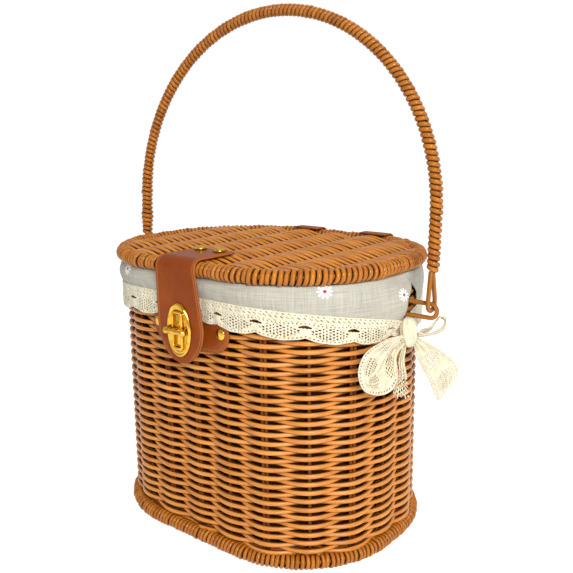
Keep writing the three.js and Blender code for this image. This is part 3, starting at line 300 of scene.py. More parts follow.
# Wall strand: one long rattan strand woven in and out of the stakes, row upon row, as a rising spiral.
# With an odd number of stakes every row crosses them the other way from the row below it.
strand_rattan = rattan("varnished_rattan_strand", "#B56A2A", "#D98D42", "#F0A95C", 0.24, "#4A230A", 0.11)
rng = np.random.default_rng(11)
ROW_PITCH, ROWS, FIRST_ROW, ROW_WANDER, STEPS_PER_STAKE = 3.22, 58, 9.8, 0.2, 10
STRAND_THICK, STRAND_CREST, STRAND_CROSSING, STRAND_SWING = 1.9, 1.95, 1.6, 3.5
INNER_SHADE = 0.35  # painted shade: the strand is darkest where it runs inside the stakes
run = np.arange(ROWS * STAKES * STEPS_PER_STAKE + 1) * WALL_GIRTH / (STAKES * STEPS_PER_STAKE)
swing = np.cos(math.pi * STAKES * run / WALL_GIRTH)
wander = np.interp(run, np.linspace(0, run[-1], 4 * ROWS), rng.normal(0, ROW_WANDER, 4 * ROWS))
line, out = oval(run, *WALL, STAKE_OUTSET + STRAND_SWING * swing)
line[:, 2] = FIRST_ROW + ROW_PITCH * run / WALL_GIRTH + wander
height = STRAND_CROSSING + (STRAND_CREST - STRAND_CROSSING) * swing ** 2
# Painted shade: the tone is low where the strand swings in behind the stakes, so it is drawn darker there.
depth = np.clip(INNER_SHADE + (swing + 0.8) / 0.7, INNER_SHADE, 1)
piece("wall_strand", [rod(line, out, STRAND_THICK, height, tone=depth)], strand_rattan, "basket",
      ["side_weaver"])


# Base border: a rattan hoop with a strand wound tightly round it, on which the basket stands.
# Its turns are pressed flat underneath.
def wound(core, out, up, turns, radius, half_thick, half_wide, steps, shift, swell, tone):
    """A strand wound round a core line: at turn angle a it lies at core + radius (cos a out + sin a up).

    shift moves whole turns along the core and leans them, swell lifts them off it and tone is low where they are
    darker, one value for each turn."""
    count = len(core)
    a = np.linspace(0, 2 * math.pi * turns, turns * steps + 1)
    number = a / (2 * math.pi)
    lean, lifted, tone = (np.interp(number, np.arange(turns + 1), each) for each in (shift, swell, tone))
    at = number / turns * (count - 1) + lean * np.cos(a) * (count - 1) / turns
    at = np.clip(at, 0, count - 1)
    low = np.minimum(at.astype(int), count - 2)
    share = (at - low)[:, None]
    middle, outward, upward = (v[low] * (1 - share) + v[low + 1] * share for v in (core, out, up))
    normal = np.cos(a)[:, None] * outward + np.sin(a)[:, None] * upward
    return rod(middle + (radius + lifted)[:, None] * normal, normal, half_thick, half_wide, tone=tone)


wound_rattan = rattan("varnished_rattan_winding", "#9A5414", "#C0731F", "#DE9034", 0.2, "#3E1C07", 0.19)
WINDING_THICK, TURN_FILL = 1.8, 0.97  # mm, and the share of the pitch that each turn fills


def border(name, size, z, radius, turns, shift, swell, stands_for, body, floor_z=-math.inf):
    """A hoop and the strand wound round it; nothing goes below floor_z."""
    core, out = oval(np.linspace(0, girth(*size), 1200), *size)
    core[:, 2] = z
    up = np.broadcast_to([0.0, 0.0, 1.0], out.shape)
    half_wide = girth(*size) / turns / 2 * TURN_FILL
    flat, *rest = wound(core, out, up, turns, radius - WINDING_THICK, WINDING_THICK, half_wide, 14, shift, swell,
                        rng.uniform(0.85, 1.0, turns + 1))
    flat = np.concatenate([flat[:, :2], np.maximum(flat[:, 2:], floor_z)], 1)
    hoop = rod(core[:-1], out[:-1], radius - 2 * WINDING_THICK + 0.3, endless=True, sides=10)
    piece(name, [(flat, *rest), hoop], wound_rattan, body, stands_for)


BASE_RIM, BASE_TURNS = (118.2, 88.0, 78.0), 196
border("base_border", BASE_RIM, z=5.2, radius=5.4, turns=BASE_TURNS, shift=rng.normal(0.2, 0.1, BASE_TURNS + 1),
       swell=rng.normal(0.05, 0.22, BASE_TURNS + 1).clip(-0.3, 0.5), stands_for=["base_rim"], body="basket",
       floor_z=0.0)

# Lid border: a hoop wound with strand, on which the lid's own strands end, so its turns lie unevenly.
LID_RIM, LID_Z, LID_TURNS = (120.0, 91.5, 81.5), 213.7, 174
border("lid_border", LID_RIM, z=LID_Z, radius=5.7, turns=LID_TURNS, shift=rng.normal(0.05, 0.09, LID_TURNS + 1),
       swell=rng.normal(0, 0.4, LID_TURNS + 1).clip(-0.4, 0.9), stands_for=["lid_rim"], body="lid")


# Lid and base panels: rods across the hoop from front to back, with strands woven over and under them.
# The base is woven with single strands; on the lid two strands twist round each other between the rods.
def panel_edge(y, half_length, half_depth, corner, inset):
    """How far the rounded oblong reaches along X at a distance y from its middle line."""
    past = np.clip(np.abs(y) - (half_depth - corner), 0, corner - inset)
    return half_length - corner + np.sqrt((corner - inset) ** 2 - past ** 2)


PANEL_ROD, STRAND_INSET, ROD_INSET, UNEVEN = 1.5, 3.0, 4.0, 0.15  # mm


def woven_panel(size, z, pitch, half_thick, crest, crossing, rods, twist):
    """Strands along X that wave over and under the rods as a cosine, the other way in every second strand.

    With a twist, each row is a pair of strands that also swing to the sides as a sine, round each other."""
    depth = size[1] - STRAND_INSET - pitch
    rows = int(2 * depth / pitch)
    strands = []
    for k in range(rows + 1):
        y = -depth + 2 * depth * k / rows
        reach = panel_edge(y, *size, STRAND_INSET)
        x = np.linspace(-reach, reach, 2 * int(reach / 3.0) + 1)
        for flip in (0, 1) if twist else (k,):
            angle = math.pi * ((x - rods[0]) / (rods[1] - rods[0]) + flip)
            swing = np.cos(angle)
            rise = (PANEL_ROD + half_thick + 0.05) * swing + rng.normal(0, UNEVEN)
            across = y + OVAL_BACK - twist * np.sin(angle) + rng.normal(0, UNEVEN)
            line = np.stack([x, across, z + rise], 1)
            wide = crossing + (crest - crossing) * swing ** 2
            strands.append(rod(line, [0, 0, 1.0], half_thick, wide, shift=900 * rng.random()))
    return strands


def panel_rods(size, z, rods):
    """Straight round rods along Y, as long as the oblong is deep there."""
    made = []
    for x in rods:
        past = max(abs(x) - (size[0] - size[2]), 0)
        reach = size[1] - size[2] + math.sqrt((size[2] - ROD_INSET) ** 2 - past ** 2)
        line = np.linspace([x, OVAL_BACK - reach, z], [x, OVAL_BACK + reach, z], 12)
        made.append(rod(line, [0, 0, 1.0], PANEL_ROD))
    return made


LID_PANEL_Z, LID_RODS = LID_Z + 0.9, 9.5 + 35.0 * np.arange(-3, 3)
lid_rattan = rattan("varnished_rattan_lid_strand", "#A85E14", "#CB7D24", "#E5993C", 0.24, "#4A230A", 0.11)
lid_strands = woven_panel(LID_RIM, LID_PANEL_Z, pitch=6.5, half_thick=1.55, crest=2.95, crossing=1.8, rods=LID_RODS,
                          twist=1.65)
piece("lid_strands", lid_strands, lid_rattan, "lid", ["lid_weaver"])
piece("lid_rods", panel_rods(LID_RIM, LID_PANEL_Z, LID_RODS), stake_rattan, "lid", ["lid_ribs"])
BASE_PANEL_Z, BASE_RODS = 6.43, (np.arange(6) - 2.5) * 34.5
base_strands = woven_panel(BASE_RIM, BASE_PANEL_Z, pitch=3.2, half_thick=1.3, crest=2.9, crossing=1.9,
                           rods=BASE_RODS, twist=0.0)
piece("base_strands", base_strands, strand_rattan, "basket", ["base_weaver"])
piece("base_rods", panel_rods(BASE_RIM, BASE_PANEL_Z, BASE_RODS), stake_rattan, "basket", ["base_ribs"])

# Handle: one steel wire bent to an arch, with an eye at each foot, and a strand wound along it.
# It leans a little to the back and swings in two wire staples at the ends of the wall.
HALF_SPAN, PIVOT_Z, EYE_HEIGHT, LEG_TOP, ARCH_RISE, LEAN = 147.0, 190.0, 24.0, 61.0, 146.0, math.radians(3.0)
HANDLE_TURNS, CORE_RADIUS, HANDLE_THICK, HANDLE_FILL = 136, 2.95, 1.75, 0.98
EYE_RADIUS, WIRE_RADIUS = 4.8, 1.6
# The lacquer copies the strand's tones, so it is made as a strand whose painted shade in the hollows is its own dark
# tone, with no darker stain.
wire_lacquer = rattan("lacquered_steel_wire", "#8C5218", "#A5661F", "#B87628", 0.3, "#8C5218", 0.15)


def leaned(points):
    """Points of the upright handle, above its pivot line, tipped to the back about that line."""
    x, y, z = np.moveaxis(np.asarray(points, float), -1, 0)
    return np.stack([x, y * math.cos(LEAN) + z * math.sin(LEAN) + OVAL_BACK,
                     z * math.cos(LEAN) - y * math.sin(LEAN) + PIVOT_Z], -1)


leg = LEG_TOP - EYE_HEIGHT
wound_length = 2 * leg + math.pi * HALF_SPAN
run = np.linspace(0, wound_length, 1400)
turn = math.pi - np.clip((run - leg) / HALF_SPAN, 0, math.pi)
below = np.maximum(np.maximum(leg - run, run - (wound_length - leg)), 0)
arch = leaned(np.stack([HALF_SPAN * np.cos(turn), 0 * run, LEG_TOP + ARCH_RISE * np.sin(turn) - below], 1))
tip = np.array([0.0, math.sin(LEAN), math.cos(LEAN)])
out = np.cos(turn)[:, None] * [1.0, 0, 0] + np.sin(turn)[:, None] * tip
side = np.broadcast_to([0.0, math.cos(LEAN), -math.sin(LEAN)], out.shape)
swell = rng.normal(0, 0.1, HANDLE_TURNS + 1).clip(-0.15, 0.25)
swell[:16] += 0.35  # the winding is doubled near its start, with two ends tucked in
swell[[4, 5, 10]] += 0.7
# Painted shade: the turns' tone varies at random from turn to turn and is set lower than on the borders, so the
# whole winding is drawn darker.
winding = wound(arch, out, side, HANDLE_TURNS, CORE_RADIUS, HANDLE_THICK,
                wound_length / HANDLE_TURNS / 2 * HANDLE_FILL, 12, rng.normal(0.12, 0.04, HANDLE_TURNS + 1), swell,
                rng.uniform(0.72, 0.95, HANDLE_TURNS + 1))
piece("handle_strand", [winding], wound_rattan, "handle", ["handle_winding"])
loop = np.linspace(0, math.pi, 24)
eye_loop = np.stack([0 * loop, EYE_RADIUS * np.cos(loop), -EYE_RADIUS * np.sin(loop)], 1)
wires = [rod(arch, out, WIRE_RADIUS)]
for end in (-1, 1):
    down = np.linspace([0, 0, EYE_HEIGHT + 6], [0, 0, EYE_HEIGHT], 3)
    out_leg = np.linspace([0, 0.0, EYE_HEIGHT - 2], [0, EYE_RADIUS, 3], 8)
    back_leg = np.linspace([0, -EYE_RADIUS, 2], [0, -3.0, EYE_HEIGHT - 1], 8)
    line = np.concatenate([down, out_leg, eye_loop, back_leg]) + [end * HALF_SPAN, 0, 0]
    wires.append(rod(leaned(line), [1.0, 0, 0], WIRE_RADIUS, sides=10))
piece("handle_wire_frame", wires, wire_lacquer, "handle", ["handle_wire"])

# Handle staples: a bent wire at each end of the wall, hooked under the top hoop, that the eyes swing on.
RING_OUT, RING_TOP, RING_LOW, RING_ROUND = 151.5, 190.0, 180.0, 4.9
FOOT_BEND, FOOT_X, HOOK_X = 3.0, 121.8, 116.6


def bend(x, z, radius, start, stop):
    """Points of a round bend in the plane of X and Z, between two angles in degrees."""
    angle = np.radians(np.linspace(start, stop, 8))
    return np.stack([x + radius * np.cos(angle), 0 * angle + OVAL_BACK, z + radius * np.sin(angle)], 1)


staple = np.concatenate([
    [[HOOK_X, OVAL_BACK, 203.0], [HOOK_X, OVAL_BACK, 201.0], [FOOT_X - 1, OVAL_BACK, 196.0]],
    bend(FOOT_X + FOOT_BEND, RING_TOP + FOOT_BEND, FOOT_BEND, 180, 270),
    bend(RING_OUT - RING_ROUND, RING_TOP - RING_ROUND, RING_ROUND, 90, 0),
    bend(RING_OUT - RING_ROUND, RING_LOW + RING_ROUND, RING_ROUND, 0, -90),
    bend(FOOT_X + FOOT_BEND, RING_LOW - FOOT_BEND, FOOT_BEND, 90, 180),
    [[FOOT_X, OVAL_BACK, 171.0], [FOOT_X, OVAL_BACK, 165.0]]])
for end, side_name in ((-1, "left"), (1, "right")):
    piece("handle_staple_" + side_name, [rod(staple * [end, 1, 1], [0, 1.0, 0], WIRE_RADIUS, sides=10)],
          wire_lacquer, "basket", ["handle_ring_" + side_name])

# Liner: a bag of cotton and linen cloth, sewn from a front and a back panel and a floor. Each panel's upper edge
# is turned out over the top of the weave and hangs outside it as a skirt, open at the handle staples.
linen, tree, skin = new_finish("printed_cotton_linen")
laid = node(tree, "UVMap", uv_map="UVMap")
place = node(tree, "SeparateXYZ", {0: laid})
# Threads are about 0.5 mm apart, drawn 1 mm apart so that they show; slubs run along both ways.
THREAD = 1.0
threads, slubs = [], []
for way, slub_scale in (("X", (1.1, 0.05, 1.0)), ("Y", (0.05, 1.1, 1.0))):
    turn = node(tree, "Math", {0: place.outputs[way], 1: 2 * math.pi / THREAD}, operation="MULTIPLY")
    threads.append(node(tree, "Math", {0: turn}, operation="SINE"))
    slub_at = node(tree, "Mapping", {0: laid, 3: slub_scale})
    slubs.append(node(tree, "TexNoise", {"Vector": slub_at, "Scale": 1.0, "Detail": 2.0}))
weave = node(tree, "Math", {0: threads[0], 1: threads[1]}, operation="MULTIPLY")
slub = node(tree, "Math", {0: slubs[0], 1: slubs[1]}, operation="ADD")
shade = node(tree, "Math", {0: weave, 1: 0.06, 2: slub}, operation="MULTIPLY_ADD")
mean_shade = node(tree, "Math", {0: shade, 1: 0.5}, operation="MULTIPLY")
ground = node(tree, "ValToRGB", {0: mean_shade}, [(0.36, "#ABA799"), (0.64, "#C8C4B6")])
# Daisies of ten petals, 10 mm across, printed in columns, each column a third of the repeat below the last.
DAISY_STEP, DAISY_REPEAT, DAISY_START, DAISY_LINE, DAISY_RADIUS = 56.0, 33.0, 102.6, 2.0, 5.0
along = node(tree, "Math", {0: place.outputs["X"], 1: DAISY_STEP / 2 - DAISY_START}, operation="ADD")
column = node(tree, "Math", {0: along, 1: DAISY_STEP}, operation="DIVIDE")
column = node(tree, "Math", {0: column}, operation="FLOOR")
dropped = node(tree, "Math", {0: column, 1: -DAISY_REPEAT / 3, 2: DAISY_REPEAT / 2 - DAISY_LINE},
               operation="MULTIPLY_ADD")
below = node(tree, "Math", {0: place.outputs["Y"], 1: dropped}, operation="ADD")
from_heart = []
for way, repeat in ((along, DAISY_STEP), (below, DAISY_REPEAT)):
    way = node(tree, "Math", {0: way, 1: repeat}, operation="FLOORED_MODULO")
    from_heart.append(node(tree, "Math", {0: way, 1: repeat / 2}, operation="SUBTRACT"))
flower = node(tree, "CombineXYZ", {0: from_heart[0], 1: from_heart[1]})
reach = node(tree, "VectorMath", {0: flower}, operation="LENGTH").outputs["Value"]
bearing = node(tree, "Math", {0: from_heart[1], 1: from_heart[0]}, operation="ARCTAN2")
petal = node(tree, "Math", {0: bearing, 1: 5.0}, operation="MULTIPLY")
petal = node(tree, "Math", {0: petal}, operation="COSINE")
petal = node(tree, "Math", {0: petal}, operation="ABSOLUTE")
edge = node(tree, "MapRange", {"Value": petal, "From Min": 0.15, "From Max": 0.75, "To Min": 1.2,
                               "To Max": DAISY_RADIUS})
inside = node(tree, "Math", {0: edge, 1: reach}, operation="SUBTRACT")
is_petal = node(tree, "MapRange", {"Value": inside, "From Min": -0.1, "From Max": 0.5, "To Max": 0.9})
is_heart = node(tree, "MapRange", {"Value": reach, "From Min": 1.4, "From Max": 0.9})
petals = node(tree, "Mix", {0: is_petal, 6: ground, 7: linear("#FBFAF6")}, data_type="RGBA")
print_on = node(tree, "Mix", {0: is_heart, 6: petals.outputs[2], 7: linear("#B8323C")}, data_type="RGBA")
bump = node(tree, "Bump", {"Strength": 0.5, "Distance": 0.0003, "Height": shade})
node(tree, skin, {"Base Color": print_on.outputs[2], "Roughness": 0.92, "Specular IOR Level": 0.2,
                  "Sheen Weight": 0.15, "Sheen Roughness": 0.5, "Normal": bump})

# Painted shade: the wrong side of the cloth, which faces the weave, is drawn as a plain dark brown, so that the gaps
# in the weave look dark.
shade_backing, tree, skin = new_finish("painted_shade_backing")
# Plain threads 0.5 mm apart, drawn 1 mm apart.
laid = node(tree, "UVMap", uv_map="UVMap")
threads = node(tree, "TexNoise", {"Vector": laid, "Scale": 1.0 / THREAD, "Detail": 2.0})
colour = node(tree, "ValToRGB", {0: threads}, [(0.35, "#331A0D"), (0.65, "#4E2B18")])
node(tree, skin, {"Base Color": colour, "Roughness": 0.95, "Specular IOR Level": 0.1})

CLOTH, QUARTER, FOLD_Z, FOLD_ROUND = 0.8, WALL_GIRTH / 4, 206.1, 1.2
LIP_OUT, SKIRT_OUT, BULGE, BAG_OUT, BAG_LOW, TURNED_IN = 8.9, 8.5, 2.1, -6.2, 11.9, 8.0
LACE_LINE, END_DROP, LEVEL_RUN, OVER_HEM = 192.9, 18.3, 40.0, 5.0
LOOSE_OUT, LOOSE_LOW, LOOSE_TALL, LOOSE_RUN = 6.5, 168.0, 37.0, 10.0
SEAM_BACK, SLIT_TOP = 8.0, 198.0  # the right-hand seam lies behind the staple
# The skirt's edges at that seam run aslant: heights, and how far each edge has drawn back from the seam there.
FRONT_SLANT = [[185.0, 191.5, 195.0, 200.0, FOLD_Z], [10.8, 10.3, 5.0, -1.0, 0.0]]
BACK_SLANT = [[185.0, 191.5, 196.0, 201.0, FOLD_Z], [17.0, 16.0, 11.0, 4.0, 0.0]]


def lace_top(run):
    """Height of the lace's upper edge: level at front and back, then falling to the ends as a power of 1.9."""
    from_middle = np.abs(np.mod(run + QUARTER, 2 * QUARTER) - QUARTER)
    return LACE_LINE - END_DROP * np.clip((from_middle - LEVEL_RUN) / (QUARTER - LEVEL_RUN), 0, 1.1) ** 1.9


def loose_edge(run, z):
    """How far the front skirt's free right-hand edge stands off: a bell along the wall times a half sine in z."""
    lift = np.sin(math.pi * np.clip((z - LOOSE_LOW) / LOOSE_TALL, 0, 1))
    near = np.where(np.abs(run - QUARTER) < 60, run - QUARTER, 60.0)
    return LOOSE_OUT * lift * np.exp(-np.minimum(near, 0) ** 2 / (2 * LOOSE_RUN ** 2)) * (near < 30)


def thin(cloth_piece, thickness):
    """Gives a sheet its thickness, half to each side, and lets it ride with the basket."""
    both_sides = cloth_piece.modifiers.new("thickness", "SOLIDIFY")
    both_sides.thickness, both_sides.offset = thickness / 1000, 0.0
    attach(cloth_piece, "basket")
    return cloth_piece


def shade_backed(cloth_piece):
    """Gives a sheet's wrong side, which faces the weave inside and out, a plain dark brown as painted shade."""
    cloth_piece.data.materials.append(shade_backing)
    cloth_piece.modifiers["thickness"].material_offset = 1
    return cloth_piece


panels = []
for side_name, start, stop in (("front", -QUARTER, QUARTER + SEAM_BACK),
                               ("back", QUARTER + SEAM_BACK, 3 * QUARTER)):
    share = np.linspace(0, 1, 241)[None, :]
    run = start + (stop - start) * share
    hang = np.linspace(0, 1, 19)[:-1, None]
    hem = lace_top(run) - OVER_HEM
    skirt_z = hem + (FOLD_Z - hem) * hang
    plain_slit = np.interp(skirt_z, [SLIT_TOP, FOLD_Z - 2], [4.5, 0.0])
    first = plain_slit if side_name == "front" else np.interp(skirt_z, *BACK_SLANT)
    last = np.interp(skirt_z, *FRONT_SLANT) if side_name == "front" else plain_slit
    skirt_run = run + first * (1 - share) ** 6 - last * share ** 6
    raised = np.clip((skirt_z - lace_top(run)) / (FOLD_Z - lace_top(run)), 0, 1)
    gathers = np.sin(skirt_run / 7.6 + 0.7 * np.sin(skirt_run / 21.0))
    pucker = np.sin(skirt_run / 1.45 + 2.0 * np.sin(skirt_run / 9.5))
    bulge, loose = BULGE, 0.0
    if side_name == "front":
        loose = loose_edge(skirt_run, skirt_z)
    else:
        bulge = BULGE - 2.0 * np.exp(-((skirt_run - QUARTER - 10) / 42.0) ** 2)
    skirt_out = (SKIRT_OUT + 0.4 * np.minimum(4 * hang, 1) + bulge * np.sin(math.pi * raised ** 1.2)
                 + 0.45 * gathers * np.sin(math.pi * raised) + 0.16 * pucker * (1 - raised) ** 2 + loose)
    turn = np.radians(np.linspace(0, 90, 5))
    lip, crest = FOLD_ROUND * (np.cos(turn) - 1), FOLD_Z + FOLD_ROUND * np.sin(turn)
    over_out = np.concatenate([LIP_OUT + lip, [0.0], BAG_OUT - lip[::-1]])[:, None]
    over_z = np.concatenate([crest, crest[-1:], crest[::-1]])[:, None]
    bag = np.append(np.linspace(0, 1, 13)[1:], 1.0)[:, None]
    turned_in = np.append(np.zeros(12), TURNED_IN)[:, None]  # the bag's lower edge, sewn in under the floor
    sag = np.sin(run / 11.6 + 1.3 * np.sin(run / 26.0))
    bag_out = BAG_OUT - turned_in - 0.9 * np.sin(math.pi * bag) * (1 + sag) / 2
    bag_z = FOLD_Z + (BAG_LOW - FOLD_Z) * bag
    over_out, over_z, bag_z = (np.broadcast_to(v, (len(v), share.size)) for v in (over_out, over_z, bag_z))
    offsets = np.concatenate([skirt_out, over_out, bag_out])
    levels = np.concatenate([skirt_z, over_z, bag_z])
    runs = np.concatenate([skirt_run, np.broadcast_to(run, (len(over_out) + len(bag), share.size))])
    points, _ = oval(runs, *WALL, offsets)
    points[..., 2] = levels
    steps = np.hypot(np.diff(offsets, axis=0), np.diff(levels, axis=0))
    down = np.concatenate([np.zeros((1, share.size)), np.cumsum(steps, 0)])
    uv = np.stack([runs, down[len(hang)] - down], -1)
    panel = shade_backed(thin(piece("cloth_" + side_name, [patch(points, uv=uv)], linen, None,
                              ["liner_" + side_name, "skirt_" + side_name]), CLOTH))
    panels.append(panel)

FLOOR_CLOTH_Z = 13.0
bag_half = [half + BAG_OUT - 0.5 for half in WALL]
y = bag_half[1] * np.sin(np.radians(np.linspace(-90, 90, 61)))[:, None]
x = np.linspace(-1, 1, 61)[None, :] * panel_edge(y, *bag_half, 0.0)
wave = 0.25 * np.sin(x / 13.0) * np.sin(y / 17.0)
floor_points = np.stack([x, y + OVAL_BACK + 0 * x, FLOOR_CLOTH_Z + wave], -1)
floor_cloth = shade_backed(thin(piece("cloth_floor", [patch(floor_points, uv=floor_points[..., :2])], linen, None,
                                ["liner_floor"]), CLOTH))
floor_cloth.modifiers["thickness"].material_offset_rim = 1

# Lace: a cream cotton edging sewn along the skirt's hem, front and back, with a scalloped lower edge.
# Its openings are real holes: slanted slits in the heading, a lens between scallops and a mesh in each scallop.
lace_cotton, tree, skin = new_finish("cream_cotton_lace")
# Twisted yarn about 0.4 mm thick, drawn at 0.9 mm so that it shows.
at = node(tree, "Mapping", {0: node(tree, "UVMap", uv_map="UVMap"), 3: (1.1, 1.1, 1.0)})
knots = node(tree, "TexVoronoi", {"Vector": at, "Scale": 1.0}, feature="F1")
soft = node(tree, "TexNoise", {"Vector": at, "Scale": 0.12, "Detail": 3.0})
mixed = node(tree, "Math", {0: knots, 1: -0.45, 2: soft}, operation="MULTIPLY_ADD")
colour = node(tree, "ValToRGB", {0: mixed}, [(0.05, "#DDD2B0"), (0.5, "#F3ECD5")])
bump = node(tree, "Bump", {"Strength": 0.6, "Distance": 0.0004, "Height": knots})
node(tree, skin, {"Base Color": colour, "Roughness": 0.9, "Specular IOR Level": 0.2, "Sheen Weight": 0.2,
                  "Sheen Roughness": 0.5, "Normal": bump})
LACE_HEIGHT, LACE_STEP, LACE_OUT, YARN = 19.5, 0.5, 9.75, 0.6
SCALLOP, SCALLOP_DEPTH, SCALLOP_LOW = 30.0, 3.0, 16.0
BAND_DOWN, LENS_DOWN, MESH_DOWN, FOOT_DOWN = 7.6, 10.2, 12.7, 17.9  # mm below the lace's upper edge
GATHER, GATHER_RUN, CLASP_LIFT, CLASP_RUN = 8.0, 38.0, 5.0, 20.0


def round_mesh(u, v, wide, tall, radius):
    """True inside round holes in columns, each column half a step below the last."""
    below = np.mod(v + tall / 2 * np.mod(np.floor(u / wide), 2), tall) - tall / 2
    return np.hypot(np.mod(u, wide) - wide / 2, below) < radius


def hole_row(u, v, step, radius):
    """True inside round holes in one row along u, where v is 0."""
    return np.hypot(np.mod(u, step) - step / 2, v) < radius


def lace_yarn(u, v):
    """True where the lace has yarn: slanted slits in the heading, a lens between scallops, a mesh in each one."""
    middle = np.mod(u - SCALLOP_LOW + SCALLOP / 2, SCALLOP) - SCALLOP / 2
    between = np.mod(u - SCALLOP_LOW, SCALLOP) - SCALLOP / 2
    lens = (between / 4.2) ** 2 + ((v - LENS_DOWN) / 1.15) ** 2 < 1
    slanted = np.mod(u - 1.1 * v, 3.4)
    heading = (np.abs(slanted - 1.7) < 0.45) & (np.abs(np.mod(v, 2.6) - 1.3) < 0.7) & (v > 1.2) & (v < 6.6)
    in_scallop = (middle / 12.5) ** 2 + ((v - MESH_DOWN) / 4.3) ** 2 < 1
    off_lens = (between / 6.2) ** 2 + ((v - LENS_DOWN) / 2.4) ** 2 > 1
    mesh = round_mesh(u, v, 2.1, 2.1, 0.68) & in_scallop & off_lens
    band, foot = (hole_row(u, v - down, 2.5, 0.5) for down in (BAND_DOWN, FOOT_DOWN))
    return ~(heading | lens | mesh | band | foot)


for side_name, start, stop, panel in (("front", -QUARTER + 5.0, QUARTER + 1.0, panels[0]),
                                      ("back", QUARTER + 6.5, 3 * QUARTER - 5.0, panels[1])):
    u = np.arange(start, stop + LACE_STEP / 2, LACE_STEP)[None, :]
    drawn = np.clip(1 - np.abs(u - QUARTER) / GATHER_RUN, 0, 1)
    tall = LACE_HEIGHT - GATHER * drawn - CLASP_LIFT * np.exp(-((u - 1.5) / CLASP_RUN) ** 2)
    scallop = SCALLOP_DEPTH * (1 - np.abs(np.cos(math.pi * (u - SCALLOP_LOW) / SCALLOP)) ** 0.8)
    v = np.arange(0, LACE_HEIGHT + LACE_STEP / 2, LACE_STEP)[:, None]
    z = lace_top(u) - v / LACE_HEIGHT * (tall - scallop)
    ruffle = np.sin(2 * math.pi * u / 10.5 + 1.5 * np.sin(u / 23.0)) * (0.12 + 0.28 * v / LACE_HEIGHT)
    ruffle = ruffle + 0.7 * drawn * np.sin(u * 1.3) * v / LACE_HEIGHT
    over_foot = 1.6 * np.exp(-((u - QUARTER) / 6.0) ** 2)  # at the knot it passes over the staple's foot
    out = LACE_OUT + ruffle + over_foot + (loose_edge(u, z) if side_name == "front" else 0)
    grid, _ = oval(np.broadcast_to(u, out.shape), *WALL, out)
    grid[..., 2] = z
    uv = np.stack(np.broadcast_arrays(u, v), -1)
    keep = lace_yarn(*np.broadcast_arrays((u[:, 1:] + u[:, :-1]) / 2, (v[1:] + v[:-1]) / 2))
    lace = thin(piece("lace_edging_" + side_name, [patch(grid, uv=uv, keep=keep)], lace_cotton, None,
                      ["lace_" + side_name]), YARN)

# Strap and flap: one strip of tan leather, eyeleted to the lid, folded over its front rim and hanging in front of
# the wall, where it widens to a rounded end. A crease is pressed in along its edges.
leather, tree, skin = new_finish("smooth_tan_leather")
where = node(tree, "TexCoord").outputs["Object"]
# Pores are about 0.3 mm apart, drawn 1 mm apart so that they show; the dye drifts over some 20 mm.
pores = node(tree, "TexVoronoi", {"Vector": where, "Scale": 1000.0}, feature="DISTANCE_TO_EDGE")
dye = node(tree, "TexNoise", {"Vector": where, "Scale": 45.0, "Detail": 3.0, "Roughness": 0.5})
colour = node(tree, "ValToRGB", {0: dye}, [(0.3, "#843A0E"), (0.7, "#9A4A12"), (0.5, "#8F4210")])
# Painted highlight: where the tone is high, along the crease and on the rounded edges, the leather is mixed towards
# a light tan.
painted_highlight = node(tree, "Attribute", attribute_name="tone")
highlit = node(tree, "Mix", {0: painted_highlight.outputs["Fac"], 6: colour, 7: linear("#C4844C")}, data_type="RGBA")
rough = node(tree, "MapRange", {"Value": dye, "To Min": 0.3, "To Max": 0.44})
bump = node(tree, "Bump", {"Strength": 0.25, "Distance": 0.0002, "Height": pores})
node(tree, skin, {"Base Color": highlit.outputs[2], "Roughness": rough, "IOR": 1.45, "Specular IOR Level": 0.14,
                  "Normal": bump})


def strip(middle, out, left, right, half_thick, crease, narrow=1.0):
    """A leather strip with rounded edges: section columns at set distances from the edges, carried along a path.

    Across, the half thickness rises as a quarter round; crease is the depth of a groove 1.9 mm inside each edge,
    and narrow widens the columns' distances where the edge runs aslant."""
    inset = np.array([0, 0.12, 0.35, 0.75, 1.35, 1.9, 2.45, 3.1])
    rise = np.array([0, 0.55, 0.8, 0.95, 1.0, 1.0, 1.0, 1.0])
    groove = np.array([0, 0, 0, 0, 0.15, 1.0, 0.15, 0])
    wide = (right - left)[:, None]
    reach = np.minimum(inset[None, :] * np.broadcast_to(narrow, left.shape)[:, None], wide * 0.12 * inset / 3.1)
    inner = np.linspace(0, 1, 36)[None, 1:-1]
    span = wide - 2 * reach[:, -1:]
    x = np.concatenate([reach, reach[:, -1:] + span * inner, (wide - reach)[:, ::-1]], 1) + left[:, None]
    rise = half_thick * np.concatenate([rise, np.ones(inner.size), rise[::-1]])
    groove = np.concatenate([groove, np.zeros(inner.size), groove[::-1]])
    x = np.concatenate([x, x[:, ::-1]], 1)
    lift = np.concatenate([rise - crease * groove, -rise[::-1]])[None, :, None]
    points = np.stack([x, np.broadcast_to(middle[:, 1:2], x.shape), np.broadcast_to(middle[:, 2:3], x.shape)], -1)
    points = points + out[:, None] * lift
    # Painted highlight: the tone is raised along the crease groove and the rounded edges of the upper face, where
    # the leather is drawn lighter.
    tone = np.concatenate([0.55 * groove + 0.3 * (rise < half_thick * 0.9), 0 * groove])
    return points, np.broadcast_to(tone, x.shape).reshape(-1)


